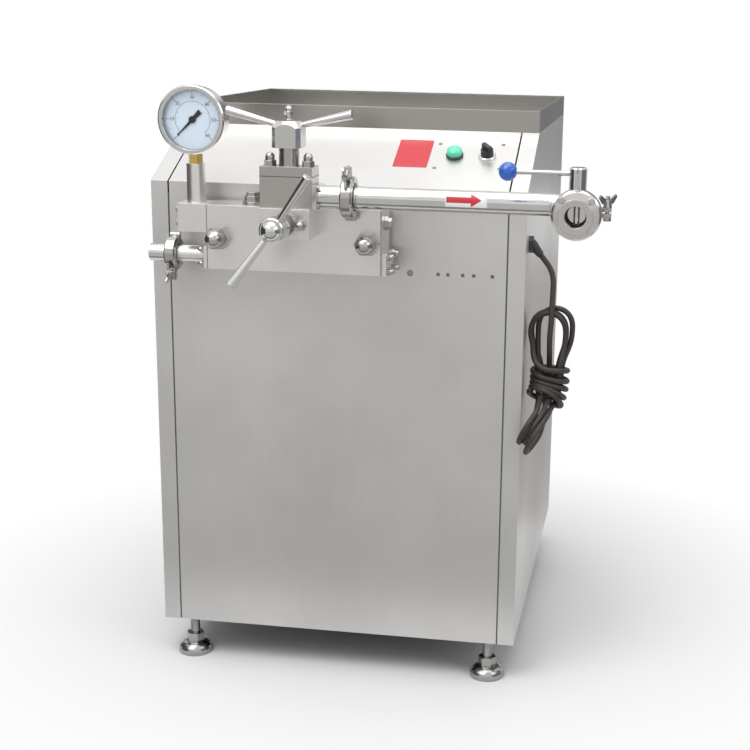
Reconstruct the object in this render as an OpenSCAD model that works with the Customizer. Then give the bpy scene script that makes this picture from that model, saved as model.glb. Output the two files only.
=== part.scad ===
// Dairy homogenizer: a floor-standing cabinet with a three-plunger pump behind the front panel.
// The pump head, its two homogenizing valves, the gauge and the pipework stand on the front.
// Millimetres, +Z up, front towards -Y, origin on the floor under the middle of the whole machine.

/* [Cabinet] */
// Width over the side panels
cabinet_w = 620; // [600:10:700]
// Depth from the front panel to the rear panel
cabinet_d = 720; // [680:10:800]
// Height of the upright part of the front panel
front_h = 772; // [750:2:820]
// Depth of the sloped control console
console_run = 172; // [150:2:190]
// Rise of the sloped control console
console_rise = 82; // [70:2:95]
// Height of the rim round the top tray
rim_h = 36; // [25:1:60]
// Width of the folded hem along the top of the rim
rim_fold = 6; // [4:0.5:10]
// Thickness of the sheet steel
sheet = 2; // [1.5:0.25:3]
// Width of the side panels' folds on the front
corner_strip = 28; // [20:1:40]
// Open seam beside the front panel
seam = 2.5; // [1:0.5:4]
// Square tube of the frame, outside
rail = 40; // [35:1:45]
// Wall of the square tube
rail_wall = 3; // [2:0.5:4]
// Top of the shelf that carries the crankcase, below the console's edge
shelf_drop = 185; // [178:1:200]

/* [Feet] */
// Floor to the bottom edge of the cabinet
foot_h = 68; // [60:1:80]
// Diameter of a foot's base
foot_d = 60; // [50:1:66]
// Height of a foot's bell
bell_h = 20; // [16:1:26]
// Diameter of a foot's stem
stem_d = 16; // [12:1:18]
// Width across the flats of a foot's nut
foot_nut = 27; // [24:1:32]
// Height of a foot's nut
foot_nut_h = 15; // [10:1:18]
// Distance of a foot from the cabinet's side
foot_side = 47; // [46:1:70]

/* [Pump head] */
// Width of the pump head
head_w = 283; // [270:1:300]
// Height of the pump head
head_h = 102; // [96:1:112]
// Depth of the pump head
head_d = 64; // [60:1:70]
// Distance of the head's front face from the panel
head_proud = 80; // [76:1:90]
// Middle of the head, to the left of the cabinet's middle
head_left = 50; // [40:1:60]
// Top of the head below the console's edge
head_drop = 26; // [20:1:34]
// Distance between plungers
plunger_pitch = 75; // [70:1:80]
// Diameter of a plunger
plunger_d = 32; // [26:1:36]
// Stroke of the plungers
stroke = 40; // [30:1:44]
// Distance of the big dome nuts from the head's middle
stud_x = 120; // [112:1:124]
// Suction bore above the head's underside
suction_up = 17; // [16:0.5:20]
// Bore of the suction gallery
suction_bore = 22; // [18:1:24]
// Length of a suction flange along the machine's depth
flange_l = 58; // [54:1:60]
// Height of a suction flange
flange_h = 36; // [34:1:38]
// Thickness of the flanges
flange_t = 7; // [5:0.5:10]

/* [Homogenizing valves] */
// Width of the first-stage block
stage1_w = 82; // [78:1:90]
// Depth of the first-stage block
stage1_d = 44; // [42:1:50]
// Height of the first-stage block
stage1_h = 48; // [44:1:54]
// Thickness of the first-stage cap plate
cap_t = 15; // [12:1:18]
// Width of the second-stage block
stage2_w = 77; // [72:1:84]
// Depth of the second-stage block
stage2_d = 55; // [53:1:62]
// Height of the second-stage block
stage2_h = 46; // [42:1:50]
// Second-stage block's top above the head's top
stage_lift = 5; // [3:0.5:8]
// Diameter of the first-stage bonnet
bonnet1_d = 31; // [28:1:33]
// Exposed bonnet between the cap plate and the handle
bonnet1_show = 28; // [22:1:34]
// Diameter of the second-stage bonnet
bonnet2_d = 24; // [22:1:26]
// Exposed bonnet between the second-stage block and its handle
bonnet2_show = 37; // [30:1:44]
// Diameter of the valve rods
rod_d = 14; // [12:1:16]
// Width of the first-stage handle's hub
hub1_w = 45; // [44:1:50]
// Diameter of the second-stage handle's hub
hub2_d = 38; // [36:1:42]
// Length of both hubs
hub_h = 40; // [36:1:46]
// Depth of the pocket in a hub that runs over the bonnet
hub_pocket = 22; // [20:1:26]
// Reach of a handle bar from its axis
bar_reach = 105; // [80:1:115]
// Lean of the bars away from the machine
bar_lean = 13; // [0:1:25]
// Bar diameter at the hub
bar_d1 = 9; // [6:0.5:10]
// Bar diameter at its end
bar_d2 = 14.5; // [10:0.5:16]
// Turn of the first-stage bars from the machine's width
bar1_turn = -7; // [-45:1:45]
// Turn of the second-stage bars from level
bar_turn = 54; // [0:1:90]

/* [Pipework] */
// Outside diameter of the discharge pipe
pipe_d = 34; // [30:0.5:36]
// Wall of the pipes
pipe_wall = 1.5; // [1:0.25:2]
// Outside diameter of the inlet pipe
inlet_d = 28; // [22:0.5:30]
// Free length of the inlet pipe
inlet_l = 37; // [25:1:60]
// Middle of the inlet clamp from the head's end
inlet_clamp_x = 66; // [58:1:72]
// Middle of the discharge clamp from the first-stage block
stub_clamp_x = 53; // [46:1:58]
// Outside diameter of the clamp ferrules
ferrule_d = 50.5; // [48:0.5:52]
// Rim thickness of a ferrule
ferrule_rim = 2.9; // [2.5:0.1:3.5]
// Length of a short ferrule
ferrule_l = 12; // [11:0.5:16]
// Thickness of a clamp gasket
gasket_t = 2; // [1.5:0.25:3]
// Width of a clamp ring
clamp_w = 18; // [16:1:20]
// Outside diameter of the inlet's smaller ferrules
inlet_ferrule_d = 40; // [38:0.5:42]
// Clamp ring's outside diameter less its ferrule's
clamp_over = 13.5; // [12:0.5:16]
// Discharge pipe's axis above the first-stage block's underside
pipe_up = 18; // [17.5:0.25:22]
// Outlet axis, to the right of the cabinet's side
outlet_out = 90; // [85:1:110]
// Radius of the elbow's centreline
elbow_r = 45; // [40:1:50]
// Straight tube between the elbow and its ferrule
spool_l = 10; // [6:1:20]
// Outside diameter of the outlet valve's body
valve_d = 72; // [70:1:80]
// Thickness of each half of the outlet valve's body
valve_half = 15; // [12:0.5:16]
// Length of the outlet valve's own ferrules
valve_neck = 18; // [14:0.5:22]
// Bolt circle of the outlet valve
valve_bolts = 60; // [58:1:62]
// Length of the outlet valve's lever to the ball's middle
lever_l = 100; // [90:1:130]
// Diameter of the lever's ball
ball_d = 27; // [22:1:30]
// Diameter of the lever's rod
lever_d = 7; // [6:0.5:9]

/* [Gauge] */
// Outside diameter of the gauge's bezel
gauge_d = 108; // [96:1:112]
// Depth of the gauge's case
gauge_depth = 34; // [30:1:40]
// Width of the gauge block
gauge_block_w = 48; // [44:1:54]
// Depth of the gauge block
gauge_block_d = 50; // [44:1:54]
// Height of the gauge block
gauge_block_h = 45; // [40:1:50]
// Diameter of the gauge's column
column_d = 30; // [26:1:34]
// Height of the gauge's column
column_h = 61; // [50:1:75]
// Width across the flats of the brass coupling
coupling_w = 20; // [18:1:24]
// Height of the brass coupling's hexagon
coupling_h = 15; // [11:0.5:17]

/* [Controls] */
// Pilot lamp to the right of the cabinet's middle
lamp_x = 178; // [160:1:195]
// Spacing of the lamp and the selector
control_pitch = 54; // [45:1:60]
// Place of the lamp and the selector up the slope
control_up = 107; // [90:1:120]
// Diameter of the bezels
bezel_d = 29; // [26:1:32]
// Diameter of the panel holes of the lamp and the selector
control_hole = 22; // [20:0.5:23]

/* [Drive] */
// Width of the crankcase
case_w = 330; // [320:2:340]
// Depth of the crankcase
case_d = 290; // [280:2:300]
// Front of the crankcase behind the front panel
case_gap = 150; // [146:1:156]
// Pitch diameter of the big pulley
big_pulley = 290; // [270:2:300]
// Pitch diameter of the motor's pulley
small_pulley = 110; // [100:2:124]
// Width of both pulleys
pulley_w = 58; // [56:1:64]
// Diameter of the crankshaft's end
crank_d = 48; // [42:1:52]
// Crankshaft behind the front panel
crank_back = 330; // [320:1:340]
// Diameter of the motor's frame
motor_d = 210; // [200:2:220]
// Length of the motor's frame
motor_l = 300; // [270:2:310]
// Diameter of the motor's shaft
motor_shaft_d = 32; // [28:1:38]
// Shaft height of the motor above its feet
motor_up = 132; // [128:1:140]

/* [Fits] */
// Radial clearance of shafts, rods and plungers
run_fit = 0.05; // [0.02:0.01:0.1]
// Clearance between pieces that move past each other
clear = 0.4; // [0.3:0.05:0.6]
// Clearance of bolts and studs in their holes
bolt_fit = 0.25; // [0.1:0.05:0.4]

/* [Hidden] */
$fn = 64;

// Colours
steel = "silver";
dark_steel = "dimgray";
polished = "gainsboro";
iron = "steelblue";
rubber = "#222222";

// Cabinet planes
half_w = cabinet_w / 2;
front_y = -cabinet_d / 2;
rear_y = cabinet_d / 2;
bottom_z = foot_h;
break_z = bottom_z + front_h;
tray_z = break_z + console_rise;
rim_z = tray_z + rim_h;
tray_y = front_y + console_run;
slope_a = atan2(console_rise, console_run);
panel_gap = 0.5;
hem_t = 3;
bolt_hole = 6;

// Louvres of the rear panel
louvre_w = 180;
louvre_pitch = 32;
louvre_rows = 7;
louvre_out = 7;
louvre_h = 16;
louvre_up = 120;

// Frame
frame_x = half_w - sheet - panel_gap;
frame_front = front_y + sheet + panel_gap;
frame_rear = rear_y - sheet - panel_gap;
base_top = bottom_z + rail;
shelf_top = break_z - shelf_drop;
shelf_z = shelf_top - rail;
post_short = 20;
foot_x = half_w - foot_side;
foot_y = -frame_front - rail / 2;
boss_d = stem_d + 14;
boss_h = 22;
stem_top = bottom_z + 30;

// Pump head
head_x = -head_left;
head_x0 = head_x - head_w / 2;
head_x1 = head_x + head_w / 2;
head_front = front_y - head_proud;
head_back = head_front + head_d;
head_z1 = break_z - head_drop;
head_z0 = head_z1 - head_h;
plunger_z = head_z0 + head_h / 2;
suction_y = head_front + flange_l / 2 + 5;
suction_z = head_z0 + suction_up;
flange_bolt_y = 20;
flange_bolt_z = 11.5;
stud_d = 20;
big_nut = 34;
small_nut = 10;

// Cylinder block, glands and plungers
neck_in = 6;
neck_l = 62;
neck_w = head_w - 2 * neck_in;
neck_h = head_h - neck_in;
neck_z0 = head_z0 + neck_in / 2;
neck_back = front_y + neck_l;
gland_d = 56;
gland_l = 18;
chamber_d = plunger_d + 8;
chamber_l = 46;
plunger_tip = head_back - 12;
plunger_phases = [0, 120, 240];

// Crankcase and drive
case_front = front_y + case_gap;
case_back = case_front + case_d;
case_x0 = head_x - case_w / 2;
case_x1 = head_x + case_w / 2;
case_up = 112;
case_z1 = plunger_z + case_up;
crank_y = front_y + crank_back;
crank_z = plunger_z;
cover_d = 120;
cover_t = 14;
pulley_gap = 46;
pulley_x = case_x1 + cover_t + pulley_gap;
motor_z = base_top + motor_up;
motor_gap = 56;
motor_x1 = pulley_x - motor_gap;
motor_x0 = motor_x1 - motor_l;
groove_n = 3;
groove_pitch = 19;
groove_h = 14;
groove_top = 17;
groove_floor = 9;
belt_out = 3;
belt_fit = 0.35;

// Homogenizing valves
valve_x = head_x + 2;
stage2_z1 = head_z1 + stage_lift;
stage2_z0 = stage2_z1 - stage2_h;
stage2_y = head_front - stage2_d;
stage2_axis = stage2_z0 + stage2_h / 2;
stage1_y = head_front - 3 - stage1_d / 2;
stage1_z1 = stage2_z1 + stage1_h;
cap_z1 = stage1_z1 + cap_t;
hub1_z = cap_z1 + bonnet1_show;
hub2_y = stage2_y - bonnet2_show;
screw_travel = 6;
cap1_stud = 30;
cap2_stud = 27;
bonnet2_flange = 36;
bonnet2_flange_t = 9;
lid_t = 5;
stud1_d = 9;
cap_nut = 17;
face_nut = 15;
rod_cap_d = 29;
rod_cap_rim = 4;
rod_cap_rise = 9;
stud_nut = 12;
dome_part = 0.88;
dome_start = 0.75;

// Pipework
pipe_y = stage1_y;
pipe_z = stage2_z1 + pipe_up;
stub_x0 = valve_x + stage1_w / 2;
stub_flange = 36;
stub_face = stub_x0 + stub_clamp_x - gasket_t / 2;
pipe_face = stub_face + gasket_t;
outlet_x = half_w + outlet_out;
elbow_x = outlet_x - elbow_r;
elbow_y = pipe_y - elbow_r;
outlet_face = elbow_y - spool_l - ferrule_l;
valve_face = outlet_face - gasket_t;
valve_back = valve_face - valve_neck;
valve_mid = valve_back - valve_half;
valve_front = valve_mid - valve_half;
outlet_end = valve_front - valve_neck;
pipe_bore = pipe_d - 2 * pipe_wall;
inlet_bore = inlet_d - 2 * pipe_wall;
inlet_face = head_x0 - inlet_clamp_x + gasket_t / 2;
inlet_pipe_face = inlet_face - gasket_t;
inlet_end = inlet_pipe_face - inlet_l;
taper = tan(20);
clamp_fit = 0.25;
clamp_bolt_out = 10;
clamp_bolt_d = 6;
clamp_ear_t = 7;
clamp_split = 3;
wing_h = 11;
wing_d = 13;
wing_span = 17;
wing_t = 3;
wing_turn = 45;
stem2_d = 10;
seat_d = 46;
seat_w = 16;
disc_t = 5;
hub3_d = 25;
hub3_z0 = valve_d / 2 + 1;
hub3_h = 30;
lever_up = hub3_z0 + 21;

// Gauge
gauge_block_x = head_x0 - gauge_block_w / 2;
gauge_y = head_front + 5 + gauge_block_d / 2;
gauge_block_z0 = head_z1 - gauge_block_h;
column_top = head_z1 + column_h;
coupling_top = column_top + coupling_h;
case_r = gauge_d / 2 - 3;
gauge_z = coupling_top + 3 + case_r;
gauge_back = gauge_y + gauge_depth / 2;
gauge_rim = gauge_y - gauge_depth / 2;
dial_depth = 8;
dial_t = 1;
dial_r = case_r - 5;
glass_t = 2;
lip = 7;
pointer_pin = 4;
pointer_zero = 225;

// Floor point under the middle of the whole machine
reach_right = outlet_x + bolt_r(ferrule_d) + (wing_span + wing_t / 2) * cos(wing_turn);
reach_front = min(outlet_end, hub2_y - hub_h - clear - rod_cap_rim - rod_cap_rise);
middle_x = (reach_right - half_w) / 2;
middle_y = (rear_y + louvre_out + reach_front) / 2;

// Cord route from its gland to the top of the hank, measured from the gland's panel face
cord_d = 9;
gland_in = 53;
gland_drop = 88;
gland_y = front_y + gland_in;
gland_z = break_z - gland_drop;
gland_nut = 24;
gland_nut_h = 7;
gland_l_boot = 22;
gland_tilt = 50;
gland_knee = 5;
cord_points = [
    [19.1, 0, -16.9], [25.3, 0, -24.3], [31.5, 0, -31.7], [36, -0.4, -38.1], [39.3, -1.6, -45.2],
    [41.3, -3.6, -52.8], [42, -6.1, -60.6], [42, -9.2, -70], [42, -11.8, -79], [42, -13.5, -88],
    [42, -14, -95], [42, -14, -99]
];
hank_w = 68;
hank_t = 62;
hank_l = 180;
hank_back = 4;
tail_w = 32;
tail_t = 30;
tail_l = 124;
tail_up = 146;
tail_lean = [-40, 19];
cord_sides = 10;
touch = 0.2;

// Helpers
module placed() translate([-middle_x, -middle_y, 0]) children();
module along_x(p) translate(p) rotate([0, 90, 0]) children();
module along_front(p) translate(p) rotate([90, 0, 0]) children();
module prism_x(x0, x1) translate([x0, 0, 0]) rotate([90, 0, 90]) linear_extrude(x1 - x0) children();
module on_slope(x, up) translate([x, front_y, break_z]) rotate([slope_a, 0, 0]) translate([0, up, 0])
    children();
module box(a, b) translate(a) cube(b - a);

// A square tube between two corners, open along one axis (0, 1 or 2)
module square_tube(a, b, axis) {
    past = [for (i = [0:2]) i == axis ? 1 : -rail_wall];
    difference() {
        box(a, b);
        box(a - past, b + past);
    }
}

// A hexagon by its width across the flats
module hexagon(w, h) cylinder(d = w / cos(30), h = h, $fn = 6);

// A hexagon nut with a domed cap
module dome_nut(w) {
    hexagon(w, 0.45 * w);
    cylinder(d = dome_part * w, h = dome_start * w);
    translate([0, 0, dome_start * w]) intersection() {
        sphere(d = dome_part * w);
        cylinder(d = 2 * w, h = w);
    }
}
// A shallow domed cap: a disc with a round top
module dome_cap(d, rim, rise) let (r = (d * d / 4 + rise * rise) / 2 / rise) intersection() {
    cylinder(d = d, h = rim + rise + 1);
    translate([0, 0, rim + rise - r]) sphere(r);
}

// A pipe along Z
module pipe(d, bore, l) difference() {
    cylinder(d = d, h = l);
    translate([0, 0, -1]) cylinder(d = bore, h = l + 2);
}

// A ferrule along Z: its sealing face lies at 0 and its pipe end at l
module ferrule(d, bore, l, fd = ferrule_d) rotate_extrude() polygon([
    [bore / 2, 0], [fd / 2, 0], [fd / 2, ferrule_rim], [d / 2, ferrule_rim + (fd - d) / 2 * taper],
    [d / 2, l], [bore / 2, l]
]);

// Frame
module frame_rails() color(dark_steel) {
    difference() {
        for (s = [-1, 1]) {
            y0 = s < 0 ? frame_front : frame_rear - rail;
            square_tube([-frame_x, y0, bottom_z], [frame_x, y0 + rail, base_top], 0);
            for (t = [-1, 1])
                translate([t * foot_x, s * foot_y, bottom_z + 1]) cylinder(d = boss_d, h = boss_h);
        }
        for (s = [-1, 1])
            for (t = [-1, 1])
                translate([t * foot_x, s * foot_y, bottom_z - 1])
                    cylinder(d = stem_d + 2 * run_fit, h = stem_top - bottom_z + 3);
    }
    for (s = [-1, 1]) {
        x0 = s < 0 ? -frame_x : frame_x - rail;
        square_tube([x0, frame_front + rail, bottom_z], [x0 + rail, frame_rear - rail, base_top], 1);
        square_tube([x0, tray_y + rail, tray_z - rail], [x0 + rail, frame_rear - rail, tray_z], 1);
        y0 = crank_y + s * motor_up * 0.82 - rail / 2;
        square_tube([rail - frame_x, y0, bottom_z], [frame_x - rail, y0 + rail, base_top], 0);
        y1 = s < 0 ? frame_front : frame_rear - rail;
        square_tube([rail - frame_x, y1, shelf_z], [frame_x - rail, y1 + rail, shelf_top], 0);
        x1 = s < 0 ? case_x0 + 15 : case_x1 - 15 - rail;
        square_tube([x1, frame_front + rail, shelf_z], [x1 + rail, frame_rear - rail, shelf_top], 1);
    }
    square_tube([rail - frame_x, frame_rear - rail, tray_z - rail],
        [frame_x - rail, frame_rear, tray_z], 0);
}

module frame_posts() color(dark_steel)
    for (s = [-1, 1]) {
        x0 = s < 0 ? -frame_x : frame_x - rail;
        square_tube([x0, frame_front, base_top], [x0 + rail, frame_front + rail, break_z - post_short], 2);
        square_tube([x0, tray_y, base_top], [x0 + rail, tray_y + rail, tray_z], 2);
        square_tube([x0, frame_rear - rail, base_top], [x0 + rail, frame_rear, tray_z], 2);
    }

// Sheet bent from the upright front into the sloped console, from x0 to x1
module bent_sheet(x0, x1) prism_x(x0, x1) polygon([
    [front_y, bottom_z], [front_y, break_z], [tray_y, tray_z], [tray_y, tray_z - sheet / cos(slope_a)],
    [front_y + sheet, break_z - sheet * (1 - sin(slope_a)) / cos(slope_a)], [front_y + sheet, bottom_z]
]);

hole_row = [169, 185, 209, 227, 257];
hole_row_drop = 135;
hole_row_d = 6;
plug_x = 123;
plug_d = 10;
module front_panel() color(steel) difference() {
    bent_sheet(corner_strip + seam - half_w, half_w - corner_strip - seam);
    box([head_x - neck_w / 2 - 1, front_y - 1, neck_z0 - 1],
        [head_x + neck_w / 2 + 1, front_y + sheet + 1, neck_z0 + neck_h + 1]);
    for (x = hole_row)
        along_front([x, front_y + sheet + 1, break_z - hole_row_drop])
            cylinder(d = hole_row_d, h = sheet + 2);
    along_front([plug_x, front_y + sheet + 1, break_z - hole_row_drop])
        cylinder(d = plug_d, h = sheet + 2);
    for (i = [0, 1])
        on_slope(lamp_x + i * control_pitch, control_up) translate([0, 0, -sheet - 2])
            cylinder(d = control_hole, h = sheet + 4);
}

// Side panel with its fold on the front; s is -1 on the left and 1 on the right
module side_panel(s) {
    x0 = s < 0 ? -half_w : half_w - sheet;
    difference() {
        prism_x(x0, x0 + sheet) polygon([
            [front_y, bottom_z], [rear_y, bottom_z], [rear_y, tray_z], [tray_y, tray_z], [front_y, break_z]
        ]);
        if (s > 0)
            along_x([half_w - sheet - 1, gland_y, gland_z]) cylinder(d = gland_nut - 6, h = sheet + 2);
    }
    if (s < 0) bent_sheet(-half_w, corner_strip - half_w);
    else bent_sheet(half_w - corner_strip, half_w);
}
module left_side_panel() color(steel) side_panel(-1);
module right_side_panel() color(polished) side_panel(1);

// Rear panel with two columns of pressed louvres
module rear_panel() color(steel) {
    x = half_w - sheet - panel_gap;
    difference() {
        box([-x, rear_y - sheet, bottom_z], [x, rear_y, tray_z]);
        louvres() translate([-sheet - 1, -louvre_h / 2])
            square([sheet + 2, louvre_h - sheet]);
    }
    louvres() polygon([
        [-sheet, louvre_h], [0, louvre_h], [louvre_out, 0], [louvre_out, -louvre_h / 2],
        [louvre_out - sheet, -louvre_h / 2], [louvre_out - sheet, -sheet / 2], [-sheet, louvre_h - 2 * sheet]
    ]);
}
module louvres()
    for (c = [-1, 1])
        for (r = [0:louvre_rows - 1])
            translate([c * cabinet_w / 4, rear_y, bottom_z + louvre_up + r * louvre_pitch])
                prism_x(-louvre_w / 2, louvre_w / 2) children();

// Top tray: a pan with an upright rim and a hem folded inwards along the top
module top_tray() color(polished) difference() {
    box([-half_w, tray_y, tray_z], [half_w, rear_y, rim_z]);
    box([sheet - half_w, tray_y + sheet, tray_z + sheet], [half_w - sheet, rear_y - sheet, rim_z - hem_t]);
    box([rim_fold - half_w, tray_y + rim_fold, tray_z + sheet],
        [half_w - rim_fold, rear_y - rim_fold, rim_z + 1]);
}

// Levelling foot: bell, nut and stem
module foot(s, t) color(polished) translate([s * foot_x, t * foot_y, 0]) {
    rotate_extrude() polygon(concat(
        [[0, 0], [foot_d / 2 - 1, 0], [foot_d / 2, 1]],
        [for (a = [0:15:90])
            [stem_d / 2 + 5 + (foot_d / 2 - stem_d / 2 - 5) * cos(a), 4 + (bell_h - 4) * sin(a)]],
        [[0, bell_h]]
    ));
    translate([0, 0, bell_h]) hexagon(foot_nut, foot_nut_h);
    cylinder(d = stem_d, h = stem_top);
}
module front_left_foot() foot(-1, -1);
module front_right_foot() foot(1, -1);
module rear_left_foot() foot(-1, 1);
module rear_right_foot() foot(1, 1);

// Motor with cooling fins, feet, terminal box and fan cover
fin_n = 28;
fin_h = 12;
fin_t = 4;
bell_t = 24;
terminal_w = 90;
motor_foot_l = 46;
module motor_body() color(iron) difference() {
    union() {
        along_x([motor_x0, crank_y, motor_z]) {
            cylinder(d = motor_d - 2 * fin_h, h = motor_l);
            cylinder(d = motor_d, h = 3 * bell_t);
            translate([0, 0, motor_l - bell_t]) cylinder(d = motor_d, h = bell_t);
            for (i = [0:fin_n - 1])
                rotate([0, 0, i * 360 / fin_n])
                    translate([motor_d / 2 - fin_h - 4, -fin_t / 2, 3 * bell_t - 1])
                        cube([fin_h + 2, fin_t, motor_l - 4 * bell_t + 2]);
        }
        for (x = [motor_x0 + 3 * bell_t, motor_x1 - bell_t - motor_foot_l])
            for (s = [-1, 1])
                prism_x(x, x + motor_foot_l) polygon([
                    [crank_y + s * (motor_up * 0.82 + rail / 2), base_top],
                    [crank_y + s * (motor_up * 0.82 + rail / 2), base_top + 14],
                    [crank_y + s * motor_d * 0.4, base_top + 24],
                    [crank_y + s * motor_d * 0.42, motor_z - motor_d * 0.2],
                    [crank_y + s * motor_d * 0.25, motor_z - motor_d * 0.35],
                    [crank_y + s * motor_d * 0.3, base_top]
                ]);
        translate([motor_x0 + motor_l / 2, crank_y, motor_z + motor_d / 2])
            box([-terminal_w / 2, -terminal_w / 2, -fin_h - 6], [terminal_w / 2, terminal_w / 2, 44]);
    }
    along_x([motor_x0 + bell_t, crank_y, motor_z])
        cylinder(d = motor_shaft_d + 2 * run_fit, h = motor_l);
    for (i = [0:11])
        for (r = [0.5, 0.76])
            along_x([motor_x0 - 1, crank_y, motor_z]) rotate([0, 0, 30 * i])
                translate([r * motor_d / 2, 0, 0]) cylinder(d = 9, h = bell_t / 2);
}

shaft_end = pulley_x + pulley_w + 6;
module motor_shaft() color(dark_steel)
    along_x([motor_x0 + bell_t + clear, crank_y, motor_z])
        cylinder(d = motor_shaft_d, h = shaft_end - motor_x0 - bell_t - clear);

// V-grooved pulley along Z from 0, by its pitch diameter and bore
module pulley(pitch, bore, web) {
    rim = pitch / 2 + belt_out + 2;
    difference() {
        cylinder(r = rim, h = pulley_w, $fn = 96);
        translate([0, 0, -1]) cylinder(d = bore, h = pulley_w + 2);
        groove_rows() rotate_extrude($fn = 96) polygon([
            [rim + 1, -groove_top / 2], [rim, -groove_top / 2], [rim - groove_h, -groove_floor / 2],
            [rim - groove_h, groove_floor / 2], [rim, groove_top / 2], [rim + 1, groove_top / 2]
        ]);
        if (web)
            for (z = [-1, pulley_w - 18])
                translate([0, 0, z]) difference() {
                    cylinder(r = rim - groove_h - 9, h = 19);
                    translate([0, 0, -1]) cylinder(d = bore + 44, h = 21);
                }
        if (web)
            for (i = [0:5])
                rotate([0, 0, 60 * i]) translate([(rim + bore) * 0.36, 0, -1])
                    cylinder(d = pitch * 0.15, h = pulley_w + 2);
    }
}
module groove_rows()
    for (i = [0:groove_n - 1])
        translate([0, 0, pulley_w / 2 + (i - (groove_n - 1) / 2) * groove_pitch]) children();
module motor_pulley() color(dark_steel)
    along_x([pulley_x, crank_y, motor_z]) pulley(small_pulley, motor_shaft_d, false);
module drive_pulley() color(dark_steel)
    along_x([pulley_x, crank_y, crank_z]) pulley(big_pulley, crank_d, true);

// V-belts: two arcs and two straight runs, each belt a ring of trapezoid section
belt_top = groove_top - 2 * belt_fit;
belt_floor = groove_floor + 1;
belt_h = groove_h - 3;
belt_drop = crank_z - motor_z;
belt_wrap = asin((big_pulley - small_pulley) / 2 / belt_drop);
module belt_section() polygon([
    [2 - belt_h, -belt_floor / 2], [2, -belt_top / 2], [2, belt_top / 2], [2 - belt_h, belt_floor / 2]
]);
module belt_arc(pitch, a0, a1) rotate([0, 0, a0]) rotate_extrude(angle = a1 - a0, $fn = 96)
    translate([pitch / 2 + belt_out, 0]) belt_section();
module drive_belts() color(rubber) along_x([pulley_x, crank_y, crank_z]) groove_rows() {
    belt_arc(big_pulley, 90 - belt_wrap, 270 + belt_wrap);
    translate([belt_drop, 0, 0]) belt_arc(small_pulley, belt_wrap - 90, 90 - belt_wrap);
    for (s = [-1, 1])
        rotate([0, 0, s * (90 - belt_wrap)]) translate([big_pulley / 2 + belt_out, 0, 0])
            rotate([90 * s, 0, 0]) linear_extrude(belt_drop * cos(belt_wrap)) scale([1, s]) belt_section();
}

// Crankshaft, its end covers and the closed crankcase
module crankshaft() color(dark_steel)
    along_x([case_x0 + 30, crank_y, crank_z]) cylinder(d = crank_d, h = shaft_end - case_x0 - 30);
module crankshaft_bearings() color(iron) {
    along_x([case_x1, crank_y, crank_z]) difference() {
        union() {
            cylinder(d = cover_d, h = cover_t);
            cylinder(d = cover_d * 0.66, h = cover_t + 10);
        }
        translate([0, 0, -1]) cylinder(d = crank_d + 2 * run_fit, h = cover_t + 12);
    }
    along_x([case_x0 - cover_t, crank_y, crank_z]) cylinder(d = cover_d, h = cover_t);
}
breather_d = 34;
breather_h = 8;
breather_in = 4;
rib_t = 10;
module crankcase() color(iron) difference() {
    union() {
        prism_x(case_x0, case_x1) polygon([
            [case_front, shelf_top], [case_back, shelf_top], [case_back, case_z1 - 50],
            [case_back - 40, case_z1], [case_front + 30, case_z1], [case_front, case_z1 - 30]
        ]);
        for (x = [case_x0, case_x1 - rib_t])
            box([x, case_front - 10, shelf_top], [x + rib_t, case_back + 10, shelf_top + 60]);
        translate([head_x, crank_y, case_z1 - breather_in]) cylinder(d = breather_d, h = breather_h + breather_in);
    }
    along_x([case_x0 + 29, crank_y, crank_z]) cylinder(d = crank_d + 2 * run_fit, h = case_x1 - case_x0);
    for (i = [0:2])
        along_front([plunger_x(i), case_front + 125, plunger_z])
            cylinder(d = plunger_d + 2 * run_fit, h = 126);
}

// Plungers, a third of a turn apart, with their packing glands
function plunger_x(i) = head_x + (i - 1) * plunger_pitch;
function plunger_at(i) = plunger_tip - stroke / 2 * cos(plunger_phases[i]);
plunger_l = case_front - plunger_tip + 60;
module plunger(i) color(polished) translate([plunger_x(i), plunger_at(i), plunger_z]) rotate([-90, 0, 0]) {
    translate([0, 0, 3]) cylinder(d = plunger_d, h = plunger_l - 3);
    cylinder(d1 = plunger_d - 6, d2 = plunger_d, h = 3);
}
module plunger_1() plunger(0);
module plunger_2() plunger(1);
module plunger_3() plunger(2);
module packing_glands() color("darkgoldenrod")
    for (i = [0:2])
        along_front([plunger_x(i), neck_back + gland_l, plunger_z]) difference() {
            union() {
                cylinder(d = gland_d, h = gland_l);
                hexagon(gland_d, gland_l * 0.6);
            }
            translate([0, 0, -1]) cylinder(d = plunger_d + 2 * run_fit, h = gland_l + 2);
        }

// Cylinder block through the panel, and the pump head in front of it
module cylinder_block() color(polished) difference() {
    box([head_x - neck_w / 2, head_back, neck_z0], [head_x + neck_w / 2, neck_back, neck_z0 + neck_h]);
    for (i = [0:2])
        along_front([plunger_x(i), neck_back + 1, plunger_z])
            cylinder(d = plunger_d + 2 * run_fit, h = neck_back - head_back + 2);
    for (s = [-1, 1])
        along_front([head_x + s * stud_x, neck_back + 1, plunger_z])
            cylinder(d = stud_d + 2 * bolt_fit, h = neck_back - head_back + 2);
}

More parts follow.
